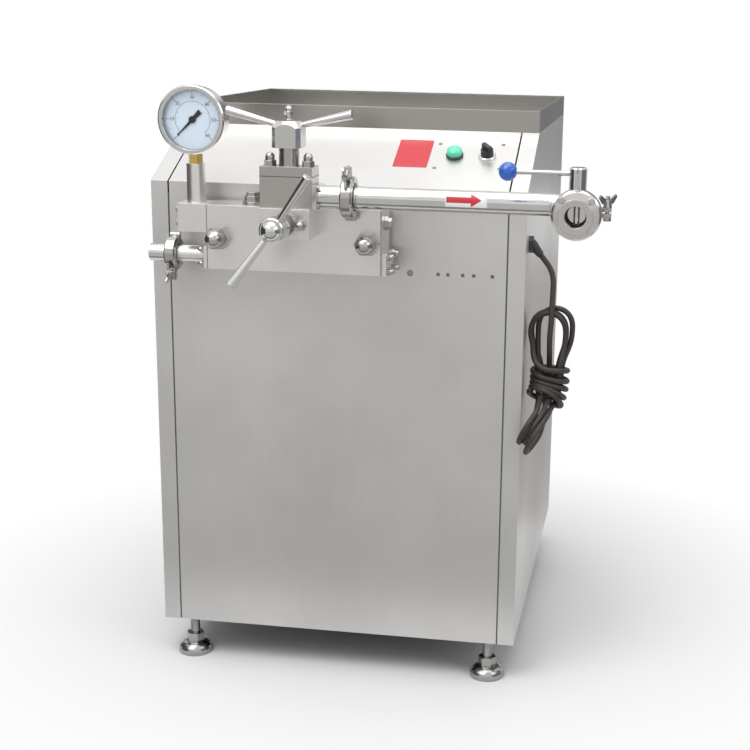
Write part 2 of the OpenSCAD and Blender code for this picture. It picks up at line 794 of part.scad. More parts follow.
head_chamfer = 2;
plug_hex = 24;
module pump_head() color(steel) difference() {
    translate([0, 0, head_z0]) linear_extrude(head_h) polygon([
        [head_x0 + head_chamfer, head_front], [head_x1 - head_chamfer, head_front],
        [head_x1, head_front + head_chamfer], [head_x1, head_back], [head_x0, head_back],
        [head_x0, head_front + head_chamfer]
    ]);
    along_x([head_x0 - 1, suction_y, suction_z]) cylinder(d = suction_bore, h = head_w + 2);
    along_x([head_x0 - 1, gauge_y, head_z1 - gauge_block_h / 2]) cylinder(d = 10, h = head_w / 2);
    for (i = [0:2])
        along_front([plunger_x(i), head_back + 1, plunger_z]) cylinder(d = chamber_d, h = chamber_l + 1);
    for (s = [-1, 1])
        along_front([head_x + s * stud_x, head_back + 1, plunger_z])
            cylinder(d = stud_d + 2 * bolt_fit, h = head_d + 2);
}

// All domed nuts, the two big ones with their studs
module dome_nuts() color(polished) {
    for (s = [-1, 1]) {
        along_front([head_x + s * stud_x, head_front, plunger_z]) dome_nut(big_nut);
        along_front([head_x + s * stud_x, neck_back, plunger_z])
            cylinder(d = stud_d, h = neck_back - head_front);
        translate([valve_x + s * cap1_stud, stage1_y, cap_z1]) dome_nut(cap_nut);
        along_front([valve_x + s * cap2_stud, stage2_y, stage2_axis]) dome_nut(face_nut);
    }
}

// Flange nuts, gauge-block bolts, valve plugs and the screws of the discharge flange
module small_nuts() color(polished) {
    for (s = [-1, 1])
        for (t = [-1, 1]) {
            y = suction_y + s * flange_bolt_y;
            z = suction_z + t * flange_bolt_z;
            along_x([head_x1 + flange_t, y, z]) dome_nut(small_nut);
            translate([head_x0 - flange_t, y, z]) rotate([0, -90, 0]) dome_nut(small_nut);
            along_x([stub_x0 + flange_t, pipe_y + s * (stage1_d / 2 - 5), pipe_z + t * (stub_flange / 2 - 4)])
                hexagon(6, 4);
        }
    for (t = [-1, 1])
        translate([head_x0 - gauge_block_w, gauge_y - 8, head_z1 - gauge_block_h / 2 + t * 11])
            rotate([0, -90, 0]) hexagon(small_nut, 7);
    for (i = [0:2])
        translate([plunger_x(i), head_back - 26, head_z1]) {
            cylinder(d = plug_hex * 1.4, h = 3);
            translate([0, 0, 3]) hexagon(plug_hex, 9);
            translate([0, 0, 12]) hexagon(plug_hex - 5, 6);
        }
    along_x([head_x1, gauge_y, head_z1 - gauge_block_h / 2]) {
        hexagon(19, 5);
        translate([0, 0, 5]) hexagon(15, 6);
    }
}

// Suction flanges: the inlet stub on the left end and the blind cover on the right end
module flange_plate() linear_extrude(flange_t)
    polygon([for (s = [[-1, -1], [1, -1], [1, 1], [-1, 1]]) [s[0] * flange_h / 2, s[1] * flange_l / 2]]);
module suction_flanges() color(steel) {
    along_x([head_x1, suction_y, suction_z]) flange_plate();
    along_x([head_x0 - flange_t, suction_y, suction_z]) difference() {
        flange_plate();
        translate([0, 0, -1]) cylinder(d = inlet_bore, h = flange_t + 2);
    }
    along_x([inlet_face, suction_y, suction_z])
        ferrule(inlet_d, inlet_bore, head_x0 - flange_t - inlet_face, inlet_ferrule_d);
}
module inlet_pipe() color(polished)
    translate([inlet_pipe_face, suction_y, suction_z]) rotate([0, -90, 0])
        ferrule(inlet_d, inlet_bore, inlet_l, inlet_ferrule_d);

// Gauge block with its column, brass coupling and gauge
module gauge_block() color(steel) difference() {
    union() {
        box([head_x0 - gauge_block_w, gauge_y - gauge_block_d / 2, gauge_block_z0],
            [head_x0, gauge_y + gauge_block_d / 2, head_z1]);
        translate([gauge_block_x, gauge_y, head_z1]) cylinder(d = column_d, h = column_h);
    }
    translate([gauge_block_x, gauge_y, head_z1 - gauge_block_h / 2])
        cylinder(d = 10, h = column_h + gauge_block_h);
    along_x([gauge_block_x, gauge_y, head_z1 - gauge_block_h / 2]) cylinder(d = 10, h = gauge_block_w);
}
module gauge_coupling() color("goldenrod") difference() {
    translate([gauge_block_x, gauge_y, column_top]) {
        hexagon(coupling_w, coupling_h);
        cylinder(d = coupling_w * 0.72, h = coupling_h + 8);
    }
    gauge_axis(gauge_back) cylinder(r = case_r, h = gauge_depth);
    translate([gauge_block_x, gauge_y, column_top - 1]) cylinder(d = 5, h = coupling_h + 20);
}
module gauge_axis(y) along_front([gauge_block_x, y, gauge_z]) children();
module gauge_case() color(polished) {
    gauge_axis(gauge_back) difference() {
        cylinder(r = case_r, h = gauge_depth);
        translate([0, 0, gauge_depth - dial_depth]) cylinder(r = dial_r + 0.2, h = dial_depth + 1);
        translate([0, 0, gauge_depth - dial_depth - 10]) cylinder(d = pointer_pin + 2 * run_fit, h = 20);
    }
    gauge_axis(gauge_rim + 9) rotate_extrude() polygon([
        [case_r + 0.1, 0], [gauge_d / 2, 1], [gauge_d / 2, 9 + glass_t], [gauge_d / 2 - 2, 11 + glass_t],
        [case_r + 3 - lip, 11 + glass_t], [case_r + 2 - lip, 9 + glass_t], [case_r + 0.1, 9 + glass_t]
    ]);
}
module gauge_dial() color("lightsteelblue") gauge_axis(gauge_rim + dial_depth) difference() {
    cylinder(r = dial_r, h = dial_t);
    translate([0, 0, -1]) cylinder(d = pointer_pin + 2, h = dial_t + 2);
}
module gauge_glass() color([0.8, 0.9, 1, 0.3]) gauge_axis(gauge_rim) cylinder(r = case_r - 0.2, h = glass_t);
pointer_t = 1;
pointer_lift = dial_t + 1;
module gauge_pointer() color(rubber) gauge_axis(gauge_rim + dial_depth) {
    translate([0, 0, -9]) cylinder(d = pointer_pin, h = 9 + pointer_lift + 0.1);
    translate([0, 0, pointer_lift]) cylinder(d = 11, h = pointer_t + 1.4);
    translate([0, 0, pointer_lift]) rotate([0, 0, pointer_zero]) linear_extrude(pointer_t)
        polygon([[-18, -4], [-18, 4], [0, 2.4], [dial_r - 11, 0.5], [dial_r - 11, -0.5], [0, -2.4]]);
}

// First and second stage of the homogenizing valve
rod1_end = stage2_z1 + 12;
rod2_end = head_front - 12;
module first_stage_body() color(steel) difference() {
    box([valve_x - stage1_w / 2, stage1_y - stage1_d / 2, stage2_z1],
        [valve_x + stage1_w / 2, stage1_y + stage1_d / 2, stage1_z1]);
    translate([valve_x, stage1_y, stage2_z1 + 5]) cylinder(d = rod_d + 2 * run_fit, h = stage1_h);
    along_x([valve_x, pipe_y, pipe_z]) cylinder(d = pipe_bore - 8, h = stage1_w);
}
module second_stage_body() color(steel) difference() {
    box([valve_x - stage2_w / 2, stage2_y, stage2_z0], [valve_x + stage2_w / 2, head_front, stage2_z1]);
    along_front([valve_x, head_front - 5, stage2_axis]) cylinder(d = rod_d + 2 * run_fit, h = stage2_d);
}
module valve_caps() color(steel) {
    translate([valve_x, stage1_y, stage1_z1]) difference() {
        union() {
            translate([-stage1_w / 2, -stage1_d / 2, 0]) cube([stage1_w, stage1_d, cap_t]);
            cylinder(d = bonnet1_d, h = cap_t + bonnet1_show + hub_pocket - screw_travel - 4);
        }
        translate([0, 0, -1]) cylinder(d = rod_d + 2 * run_fit, h = 150);
    }
    along_front([valve_x, stage2_y, stage2_axis]) difference() {
        union() {
            cylinder(d = bonnet2_flange, h = bonnet2_flange_t);
            cylinder(d = bonnet2_d, h = bonnet2_show + hub_pocket - screw_travel - 4);
        }
        translate([0, 0, -1]) cylinder(d = rod_d + 2 * run_fit, h = 150);
    }
}

// Rod with the stud that carries the handle; hub lies at z in the rod's own length
module valve_rod(hub) {
    cylinder(d = rod_d, h = hub + hub_h - lid_t);
    cylinder(d = stud1_d, h = hub + hub_h + clear);
}
// Handle bars that lean out of the hub in a V
module handle_bars(root) for (s = [0, 180])
    rotate([0, 0, s]) rotate([0, 90 - bar_lean, 0]) translate([0, 0, root]) rotate_extrude() polygon([
        [0, 0], [bar_d1 / 2, 0], [bar_d2 / 2, bar_reach - root - 1], [bar_d2 / 2 - 1, bar_reach - root],
        [0, bar_reach - root]
    ]);
module hub_bore(pocket) {
    translate([0, 0, -1]) cylinder(d = pocket + 2 * clear, h = hub_pocket + 1);
    cylinder(d = rod_d + 2 * run_fit, h = hub_h - lid_t + clear);
    cylinder(d = stud1_d + 2 * run_fit, h = hub_h + 1);
}
module first_stage_rod() color(polished) translate([valve_x, stage1_y, rod1_end]) {
    valve_rod(hub1_z - rod1_end);
    translate([0, 0, hub1_z + hub_h + clear - rod1_end]) {
        cylinder(d = 16, h = 2);
        cylinder(d = stud1_d, h = 9);
        translate([0, 0, 8]) dome_nut(stud_nut);
    }
}
hub_cut = 6.5;
hub_bevel = 9;
bar_drop = 6;
module first_stage_handle() color(polished) translate([valve_x, stage1_y, hub1_z]) difference() {
    union() {
        intersection() {
            linear_extrude(hub_h) polygon([for (q = [0:3]) for (e = [-1, 1])
                let (c = hub1_w / 2, a = 90 * q, m = e * (c - hub_cut))
                    [c * cos(a) - m * sin(a), c * sin(a) + m * cos(a)]]);
            rotate_extrude() polygon([
                [0, 0], [hub1_w * 0.65, 0], [hub1_w * 0.65, hub_h - hub_bevel - 3],
                [hub1_w * 0.42, hub_h], [0, hub_h]
            ]);
        }
        translate([0, 0, hub_h - bar_drop - 5]) rotate([0, 0, bar1_turn]) handle_bars(hub1_w / 2 - 5);
    }
    hub_bore(bonnet1_d);
}
module second_stage_rod() color(polished) along_front([valve_x, rod2_end, stage2_axis]) {
    valve_rod(rod2_end - hub2_y);
    translate([0, 0, rod2_end - hub2_y + hub_h + clear]) dome_cap(rod_cap_d, rod_cap_rim, rod_cap_rise);
}
module second_stage_handle() color(polished) along_front([valve_x, hub2_y, stage2_axis]) difference() {
    union() {
        rotate_extrude() polygon([
            [0, 0], [hub2_d / 2 - 2, 0], [hub2_d / 2, 2], [hub2_d / 2, hub_h - 2], [hub2_d / 2 - 2, hub_h],
            [0, hub_h]
        ]);
        translate([0, 0, hub_h - bar_drop - 5]) rotate([0, 0, bar_turn]) handle_bars(hub2_d / 2 - 4);
    }
    hub_bore(bonnet2_d);
}

// Discharge stub, long outlet pipe with its elbow, clamps and seals
module discharge_stub() color(polished) {
    translate([stub_x0, pipe_y, pipe_z]) rotate([0, 90, 0]) difference() {
        translate([-stub_flange / 2, -stage1_d / 2, 0]) cube([stub_flange, stage1_d, flange_t]);
        translate([0, 0, -1]) cylinder(d = pipe_bore, h = flange_t + 2);
    }
    translate([stub_face, pipe_y, pipe_z]) rotate([0, -90, 0])
        ferrule(pipe_d, pipe_bore, stub_face - stub_x0 - flange_t);
}
module outlet_pipe() color(polished) {
    along_x([pipe_face, pipe_y, pipe_z]) ferrule(pipe_d, pipe_bore, ferrule_l);
    along_x([pipe_face + ferrule_l, pipe_y, pipe_z]) pipe(pipe_d, pipe_bore, elbow_x - pipe_face - ferrule_l);
    translate([elbow_x, elbow_y, pipe_z]) rotate_extrude(angle = 90) translate([elbow_r, 0]) difference() {
        circle(d = pipe_d);
        circle(d = pipe_bore);
    }
    translate([outlet_x, outlet_face, pipe_z]) rotate([-90, 0, 0])
        ferrule(pipe_d, pipe_bore, ferrule_l + spool_l);
}

// One clamp about Z: ring halves split across Y, swing bolt at +X and hinge at -X; fd is its ferrules' size
function clamp_r(fd) = (fd + clamp_over) / 2;
function bolt_r(fd) = clamp_r(fd) + clamp_bolt_out;
function groove_at(fd, r) = gasket_t / 2 + ferrule_rim + clamp_fit + (fd / 2 - r) * taper;
clamp_deep = 10;
module clamp_ring(fd) let (ro = clamp_r(fd), ri = ro - clamp_deep, rg = fd / 2 + clamp_fit, h = clamp_w / 2)
    rotate_extrude() polygon([
        [ri, h], [ro - 2, h], [ro, h - 2], [ro, 2 - h], [ro - 2, -h], [ri, -h],
        [ri, -groove_at(fd, ri)], [rg, -groove_at(fd, fd / 2)], [rg, groove_at(fd, fd / 2)],
        [ri, groove_at(fd, ri)]
    ]);
knuckle_d = 10;
knuckle_out = 3;
module clamp_half(fd, s) {
    ear = clamp_r(fd) - 3;
    knuckle_x = -clamp_r(fd) - knuckle_out;
    difference() {
        union() {
            clamp_ring(fd);
            translate([ear, s < 0 ? -clamp_ear_t : clamp_split / 2, 3 - clamp_w / 2])
                cube([bolt_r(fd) + 6 - ear, clamp_ear_t - clamp_split / 2, clamp_w - 6]);
        }
        translate([-2 * fd, s < 0 ? -clamp_split / 2 : -2 * fd, -clamp_w])
            cube([4 * fd, 2 * fd + clamp_split / 2, 2 * clamp_w]);
        translate([bolt_r(fd), 0, 0]) rotate([-90, 0, 0])
            cylinder(d = clamp_bolt_d + 2 * bolt_fit, h = 4 * clamp_ear_t, center = true);
        translate([knuckle_x, 0, -clamp_w]) cylinder(d = knuckle_d + 1, h = 2 * clamp_w);
    }
    long = clamp_w / 3 - (s < 0 ? 1.2 : 0);
    for (z = s < 0 ? [1 - clamp_w / 2, clamp_w / 6 + 0.2] : [-clamp_w / 6])
        translate([knuckle_x, 0, z]) difference() {
            union() {
                cylinder(d = knuckle_d, h = long);
                translate([0, s < 0 ? -knuckle_d / 2 : 1, 0])
                    cube([knuckle_d / 2 + knuckle_out, knuckle_d / 2 - 1, long]);
            }
            translate([0, 0, -1]) cylinder(d = 4 + 2 * bolt_fit, h = clamp_w);
        }
}
module clamp(fd) {
    clamp_half(fd, 1);
    clamp_half(fd, -1);
    translate([-clamp_r(fd) - knuckle_out, 0, -clamp_w / 2]) cylinder(d = 4, h = clamp_w);
    translate([bolt_r(fd), -clamp_ear_t, 0]) rotate([-90, 0, 0]) {
        cylinder(d = clamp_bolt_d, h = 2 * clamp_ear_t + wing_h + 6);
        translate([0, 0, -5]) hexagon(10, 5);
    }
}
// Where each clamp sits: its middle on the pipe, turned so that its bolt lies as on the machine
module at_inlet() translate([inlet_face - gasket_t / 2, suction_y, suction_z]) rotate([0, -90, 0])
    rotate([0, 0, -160]) children();
module at_discharge() translate([stub_face + gasket_t / 2, pipe_y, pipe_z]) rotate([0, 90, 0])
    rotate([0, 0, -160]) children();
module at_outlet() translate([outlet_x, outlet_face - gasket_t / 2, pipe_z]) rotate([90, 0, 0])
    children();
module pipe_clamps() color(polished) {
    at_inlet() clamp(inlet_ferrule_d);
    at_discharge() clamp(ferrule_d);
    at_outlet() clamp(ferrule_d);
}
module wing_nut(fd, turn = 0) translate([bolt_r(fd), clamp_ear_t + clear, 0])
    rotate([-90, 0, 0]) rotate([0, 0, turn]) difference() {
    union() {
        cylinder(d1 = wing_d, d2 = wing_d - 3, h = wing_h);
        rotate([90, 0, 0]) linear_extrude(wing_t, center = true) for (s = [-1, 1]) scale([s, 1]) polygon([
            [0, 2], [wing_span * 0.6, 6], [wing_span, wing_h + 4], [wing_span * 0.85, wing_h + 8],
            [wing_span * 0.6, wing_h + 5], [0, wing_h - 1]
        ]);
    }
    translate([0, 0, -1]) cylinder(d = clamp_bolt_d + 2 * run_fit, h = 3 * wing_h);
}
module inlet_wing_nut() color(polished) at_inlet() wing_nut(inlet_ferrule_d);
module discharge_wing_nut() color(polished) at_discharge() wing_nut(ferrule_d);
module outlet_wing_nut() color(polished) at_outlet() wing_nut(ferrule_d, wing_turn);

module clamp_gasket(fd, bore) translate([0, 0, -gasket_t / 2]) pipe(fd - 2, bore, gasket_t);
module pipe_seals() color("white") {
    at_inlet() clamp_gasket(inlet_ferrule_d, inlet_bore);
    at_discharge() clamp_gasket(ferrule_d, pipe_bore);
    at_outlet() clamp_gasket(ferrule_d, pipe_bore);
    translate([outlet_x, valve_mid, pipe_z]) difference() {
        rotate([90, 0, 0]) translate([0, 0, -seat_w / 2]) pipe(seat_d, pipe_bore, seat_w);
        translate([0, 0, -seat_d]) cylinder(d = stem2_d + 2 * run_fit, h = 2 * seat_d);
    }
}

// Outlet butterfly valve: two bolted halves, disc on its stem, lever with a ball
valve_bolt = 6;
module valve_bolt_places() for (i = [0:3])
    rotate([0, 0, 45 + 90 * i]) translate([valve_bolts / 2, 0, 0]) children();
// One half about Z from the joint face at 0 to the ferrule's face; its share of the stem's boss points to up
module valve_half_body(up) difference() {
    union() {
        rotate_extrude() polygon([
            [0, panel_gap / 2], [valve_d / 2, panel_gap / 2], [valve_d / 2, valve_half - 5],
            [valve_d / 2 - 3, valve_half - 2], [ferrule_d / 2 - 2, valve_half], [0, valve_half]
        ]);
        translate([0, 0, valve_half + valve_neck]) mirror([0, 0, 1])
            ferrule(pipe_d + 4, pipe_bore, valve_neck + 1);
        intersection() {
            rotate([-90 * up, 0, 0]) cylinder(d = hub3_d, h = hub3_z0 - clear);
            translate([-valve_d, -valve_d, panel_gap / 2]) cube(2 * valve_d);
        }
    }
    translate([0, 0, -1]) cylinder(d = seat_d + 0.2, h = seat_w / 2 + 1.1);
    translate([0, 0, -1]) cylinder(d = pipe_bore, h = valve_half + valve_neck + 2);
    valve_bolt_places() translate([0, 0, -1]) cylinder(d = valve_bolt + 2 * bolt_fit, h = valve_half + 2);
    rotate([90, 0, 0]) cylinder(d = stem2_d + 2 * run_fit, h = 4 * valve_d, center = true);
}
module outlet_valve_body() color(polished) translate([outlet_x, valve_mid, pipe_z]) {
    rotate([90, 0, 0]) valve_half_body(1);
    rotate([-90, 0, 0]) valve_half_body(-1);
    rotate([90, 0, 0]) valve_bolt_places() {
        translate([0, 0, -valve_half]) cylinder(d = valve_bolt, h = 2 * valve_half);
        for (s = [0, 1])
            mirror([0, 0, s]) translate([0, 0, valve_half - 3]) hexagon(9, 6);
    }
}
module outlet_valve_disc() color(polished) translate([outlet_x, valve_mid, pipe_z]) {
    rotate([90, 0, 0]) cylinder(d = pipe_bore - 2 * clear, h = disc_t, center = true);
    translate([0, 0, -seat_d / 2 + 2]) cylinder(d = stem2_d, h = seat_d / 2 - 2 + hub3_z0 + hub3_h - 4);
}
module outlet_valve_lever() color(polished) translate([outlet_x, valve_mid, pipe_z]) difference() {
    union() {
        translate([0, 0, hub3_z0]) rotate_extrude() polygon([
            [0, 0], [hub3_d / 2, 0], [hub3_d / 2, hub3_h - 2], [hub3_d / 2 - 2, hub3_h], [0, hub3_h]
        ]);
        translate([0, 0, lever_up]) rotate([0, -90, 0])
            cylinder(d = lever_d, h = lever_l - ball_d / 4 - bolt_fit);
    }
    cylinder(d = stem2_d + 2 * run_fit, h = hub3_z0 + hub3_h - 4);
    translate([-1, -hub3_d, hub3_z0 + hub3_h - 9]) cube([2, hub3_d, 10]);
}
module lever_ball() color("royalblue") translate([outlet_x - lever_l, valve_mid, pipe_z + lever_up])
    rotate([0, 90, 0]) difference() {
        sphere(d = ball_d);
        translate([0, 0, ball_d / 4]) cylinder(d = lever_d + 2 * bolt_fit, h = ball_d);
    }

// Pilot lamp, bezels and selector on the console
bezel_h = 5;
module pilot_lamp() color("springgreen") on_slope(lamp_x, control_up) translate([0, 0, bezel_h]) {
    rotate_extrude() polygon(concat([[0, 0], [bezel_d / 2 - 2, 0], [bezel_d / 2 - 2, 7]],
        [for (a = [0:15:90]) [(bezel_d / 2 - 2) * (0.6 * cos(a) + 0.4 * (1 - a / 90)), 7 + 5 * sin(a)]]));
}
module console_bezels() color(steel) for (i = [0, 1]) on_slope(lamp_x + i * control_pitch, control_up) {
    rotate_extrude() polygon([
        [0, 0], [bezel_d / 2, 0], [bezel_d / 2, bezel_h - 1.5], [bezel_d / 2 - 1.5, bezel_h], [0, bezel_h]
    ]);
    translate([0, 0, -24]) cylinder(d = control_hole - 1, h = 24);
}
knob_d = 21;
knob_h = 9;
grip_h = 9;
grip_w = 7;
module selector_knob() color(rubber) on_slope(lamp_x + control_pitch, control_up)
    translate([0, 0, bezel_h + clear]) {
        cylinder(d = knob_d, h = knob_h);
        rotate([0, 0, 130]) translate([-knob_d / 2 + 1, -grip_w / 2, knob_h - 1])
            cube([knob_d - 1, grip_w, grip_h]);
    }

// Cord gland on the right side panel, the cord and its hank
module cord_gland() color(rubber) translate([half_w, gland_y, gland_z]) {
    along_x([0, 0, 0]) hexagon(gland_nut, gland_nut_h);
    along_x([-16, 0, 0]) cylinder(d = gland_nut - 7, h = 17);
    translate([gland_knee, 0, 0]) {
        sphere(d = gland_nut - 7);
        rotate([0, 90 + gland_tilt, 0]) cylinder(d1 = gland_nut - 7, d2 = cord_d + 3, h = gland_l_boot);
    }
}
function cord_at(i) = [half_w, gland_y, gland_z] + cord_points[i];
cord_n = len(cord_points) - 1;
function cord_way(i) = i == 0 ? [cos(gland_tilt), 0, -sin(gland_tilt)] : i == cord_n ? [0, 0, -1]
    : let (d = cord_at(i + 1) - cord_at(i - 1)) d / norm(d);
function cord_ring(i) = let (t = cord_way(i), a = cross(t, [0, 1, 0]), u = a / norm(a), v = cross(t, u))
    [for (k = [0:cord_sides - 1]) cord_at(i) + cord_d / 2
        * (cos(360 * k / cord_sides) * u + sin(360 * k / cord_sides) * v)];
module power_cord() color(rubber) {
    n = len(cord_points);
    polyhedron(
        points = [for (i = [0:n - 1]) each cord_ring(i)],
        faces = concat(
            [[for (k = [0:cord_sides - 1]) k]],
            [for (i = [0:n - 2]) for (k = [0:cord_sides - 1])
                let (a = i * cord_sides, b = (k + 1) % cord_sides)
                    [a + b, a + k, a + cord_sides + k, a + cord_sides + b]],
            [[for (k = [cord_sides - 1:-1:0]) (n - 1) * cord_sides + k]]
        )
    );
}
hank_top = cord_at(cord_n) + [0, hank_back, -touch];
// A flat oval hanging down from 0
module oval(w, l, t) rotate([90, 0, 0]) linear_extrude(t, center = true) {
    for (z = [-w / 2, w / 2 - l])
        translate([0, z]) circle(d = w);
    translate([-w / 2, w / 2 - l]) square([w, l - w]);
}
// Hank: the tied loops, and below the tie the loops' ends swung to the front and left
module cord_hank() color(rubber) translate(hank_top) {
    oval(hank_w, hank_l, hank_t);
    translate([0, 0, -tail_up]) rotate([tail_lean[0], tail_lean[1], 0]) oval(tail_w, tail_l, tail_t);
}

placed() frame_rails();
placed() frame_posts();
placed() front_panel();
placed() left_side_panel();
placed() right_side_panel();
placed() rear_panel();
placed() top_tray();
placed() front_left_foot();
placed() front_right_foot();
placed() rear_left_foot();
placed() rear_right_foot();
placed() motor_body();
placed() motor_shaft();
placed() motor_pulley();
placed() drive_belts();
placed() drive_pulley();
placed() crankshaft();
placed() crankshaft_bearings();
placed() crankcase();
placed() plunger_1();
placed() plunger_2();
placed() plunger_3();
placed() packing_glands();
placed() cylinder_block();
placed() pump_head();
placed() dome_nuts();
placed() small_nuts();
placed() suction_flanges();
placed() inlet_pipe();
placed() gauge_block();
placed() gauge_coupling();
placed() gauge_case();
placed() gauge_dial();
placed() gauge_glass();
placed() gauge_pointer();
placed() first_stage_body();
placed() second_stage_body();
placed() valve_caps();
placed() first_stage_rod();
placed() first_stage_handle();
placed() second_stage_rod();
placed() second_stage_handle();
placed() discharge_stub();
placed() outlet_pipe();
placed() pipe_clamps();
placed() pipe_seals();
placed() inlet_wing_nut();
placed() discharge_wing_nut();
placed() outlet_wing_nut();
placed() outlet_valve_body();
placed() outlet_valve_disc();
placed() outlet_valve_lever();
placed() lever_ball();
placed() pilot_lamp();
placed() console_bezels();
placed() selector_knob();
placed() cord_gland();
placed() power_cord();
placed() cord_hank();
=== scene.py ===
"""Looks for the dairy homogenizer: satin cabinet, machined pump head, polished valves and pipework."""
import math

import bpy
import numpy as np
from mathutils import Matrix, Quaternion, Vector


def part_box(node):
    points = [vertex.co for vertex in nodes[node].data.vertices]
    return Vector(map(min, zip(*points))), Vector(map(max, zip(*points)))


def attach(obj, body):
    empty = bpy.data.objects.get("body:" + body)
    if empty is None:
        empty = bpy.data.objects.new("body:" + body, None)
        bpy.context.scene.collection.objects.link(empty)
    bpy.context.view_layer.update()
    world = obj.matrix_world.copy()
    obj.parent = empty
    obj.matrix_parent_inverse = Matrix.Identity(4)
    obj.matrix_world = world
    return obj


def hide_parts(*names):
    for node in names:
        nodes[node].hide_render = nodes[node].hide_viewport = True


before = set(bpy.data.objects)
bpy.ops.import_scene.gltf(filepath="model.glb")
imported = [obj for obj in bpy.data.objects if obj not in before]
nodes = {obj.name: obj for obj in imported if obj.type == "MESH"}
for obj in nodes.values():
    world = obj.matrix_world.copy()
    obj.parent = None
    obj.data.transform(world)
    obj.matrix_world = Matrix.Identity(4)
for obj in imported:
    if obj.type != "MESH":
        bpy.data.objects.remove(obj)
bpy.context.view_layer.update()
TAU = 2 * math.pi
MM = 1000  # millimetres in a metre
MACHINE = "machine"

# Camera at the photograph's viewing angle
CAMERA_PLACE = (0.444298, -2.430432, 1.096703)
CAMERA_TURN = (0.786112, 0.613308, 0.039442, 0.065771)
SENSOR_WIDTH = 36
FOCAL_LENGTH = 66.763
SIDE_SHIFT = -0.1
FAR_CLIP = 50


def set_camera():
    """The photograph's focal length and place; the small shift follows its off-centre framing."""
    data = bpy.data.cameras.new("front_camera")
    data.sensor_width = SENSOR_WIDTH
    data.lens = FOCAL_LENGTH
    data.shift_x = SIDE_SHIFT
    data.clip_end = FAR_CLIP
    cam = new_object("front_camera", data)
    cam.location = CAMERA_PLACE
    cam.rotation_mode = "QUATERNION"
    cam.rotation_quaternion = Quaternion(CAMERA_TURN)
    bpy.context.scene.camera = cam


# Where things are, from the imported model
def low(node):
    """Lowest corner of a CAD node as an array."""
    return np.array(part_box(node)[0])


def high(node):
    """Highest corner of a CAD node as an array."""
    return np.array(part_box(node)[1])


def middle(node):
    """Middle of a CAD node's box."""
    return (low(node) + high(node)) / 2


SIDE_X = (low("left_side_panel")[0] + high("right_side_panel")[0]) / 2
FRONT_Y = low("front_panel")[1]
VALVE_RADIUS = 0.036
OUTLET_Z = low("outlet_valve_body")[2] + VALVE_RADIUS

# Places in the source's millimetres: front and rear sheets, foot of the console, axis of the discharge pipe
SHEET_FRONT, SHEET_REAR = -360, 360
CONSOLE_FOOT = 840
PIPE_Y, PIPE_Z = -465, 837


def cabinet(x, y, z):
    """A point given in the source's millimetres: x and y from the cabinet's middle, z from the floor."""
    return np.array([SIDE_X + x / MM, FRONT_Y + (y - SHEET_FRONT) / MM, z / MM])


# Building surfaces
FILM_THICKNESS = 0.0001


def grid_faces(rows, columns, closed=False, ring=False):
    """Corner numbers of the quads between neighbouring points of a grid; closed and ring join its ends."""
    i = np.arange(rows if closed else rows - 1)[:, None]
    j = np.arange(columns if ring else columns - 1)[None, :]
    i_next, j_next = (i + 1) % rows, (j + 1) % columns
    corners = ((i, j), (i, j_next), (i_next, j_next), (i_next, j))
    return np.stack([a * columns + b for a, b in corners], -1).reshape(-1, 4).tolist()


def new_mesh(name, points, faces, material, smooth=False):
    """A mesh with one material from an array of points and a list of faces."""
    mesh = bpy.data.meshes.new(name)
    mesh.from_pydata(np.asarray(points, float).reshape(-1, 3).tolist(), [], faces)
    mesh.polygons.foreach_set("use_smooth", np.full(len(mesh.polygons), smooth))
    mesh.materials.append(material)
    mesh.update()
    return mesh


def new_object(name, data):
    """An object of the scene for a mesh, a lamp, a camera or a text."""
    made = bpy.data.objects.new(name, data)
    bpy.context.collection.objects.link(made)
    return made


def new_piece(name, mesh, body=MACHINE):
    """A mesh as a piece that rides on a body."""
    piece = new_object(name, mesh)
    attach(piece, body)
    return piece


def surface(name, grid, material, body=MACHINE, ring=False, closed=False, caps=False):
    """A grid of points as quads: rows follow the first parameter, columns the second.

    ring joins the last column to the first, closed joins the last row to the first, and caps fill both end
    rows of a ring with one face each.
    """
    rows, columns = grid.shape[:2]
    faces = grid_faces(rows, columns, closed, ring)
    if caps:
        end = np.arange(columns)
        faces += [end[::-1].tolist(), ((rows - 1) * columns + end).tolist()]
    return new_piece(name, new_mesh(name, grid, faces, material, smooth=True), body)


def film(piece):
    """Gives a printed or glued film its thickness, inwards from its face."""
    solid = piece.modifiers.new("thickness", "SOLIDIFY")
    solid.thickness, solid.offset = FILM_THICKNESS, -1


def axis_frame(axis):
    """Two unit vectors at right angles to an axis and to each other, so that u x v = axis."""
    axis = np.asarray(axis, float) / np.linalg.norm(axis)
    side = np.array([1.0, 0, 0]) if abs(axis[0]) < 0.9 else np.array([0, 1.0, 0])
    u = np.cross(axis, side)
    u /= np.linalg.norm(u)
    return u, np.cross(axis, u), axis


def about(centre, axis, r, t, h):
    """Points at radius r, angle t and height h about an axis: centre + r (cos t u + sin t v) + h axis."""
    u, v, w = axis_frame(axis)
    r, t, h = (a[..., None] for a in np.broadcast_arrays(r, t, h))
    return np.asarray(centre) + r * (np.cos(t) * u + np.sin(t) * v) + h * w


def round_angles(sides):
    """Evenly spaced angles of one turn."""
    return np.linspace(0, TAU, sides, endpoint=False)


def turned(profile, centre, axis, sides):
    """A profile of (radius, height) pairs turned about an axis."""
    r, h = np.asarray(profile, float).T[..., None]
    return about(centre, axis, r, round_angles(sides), h)


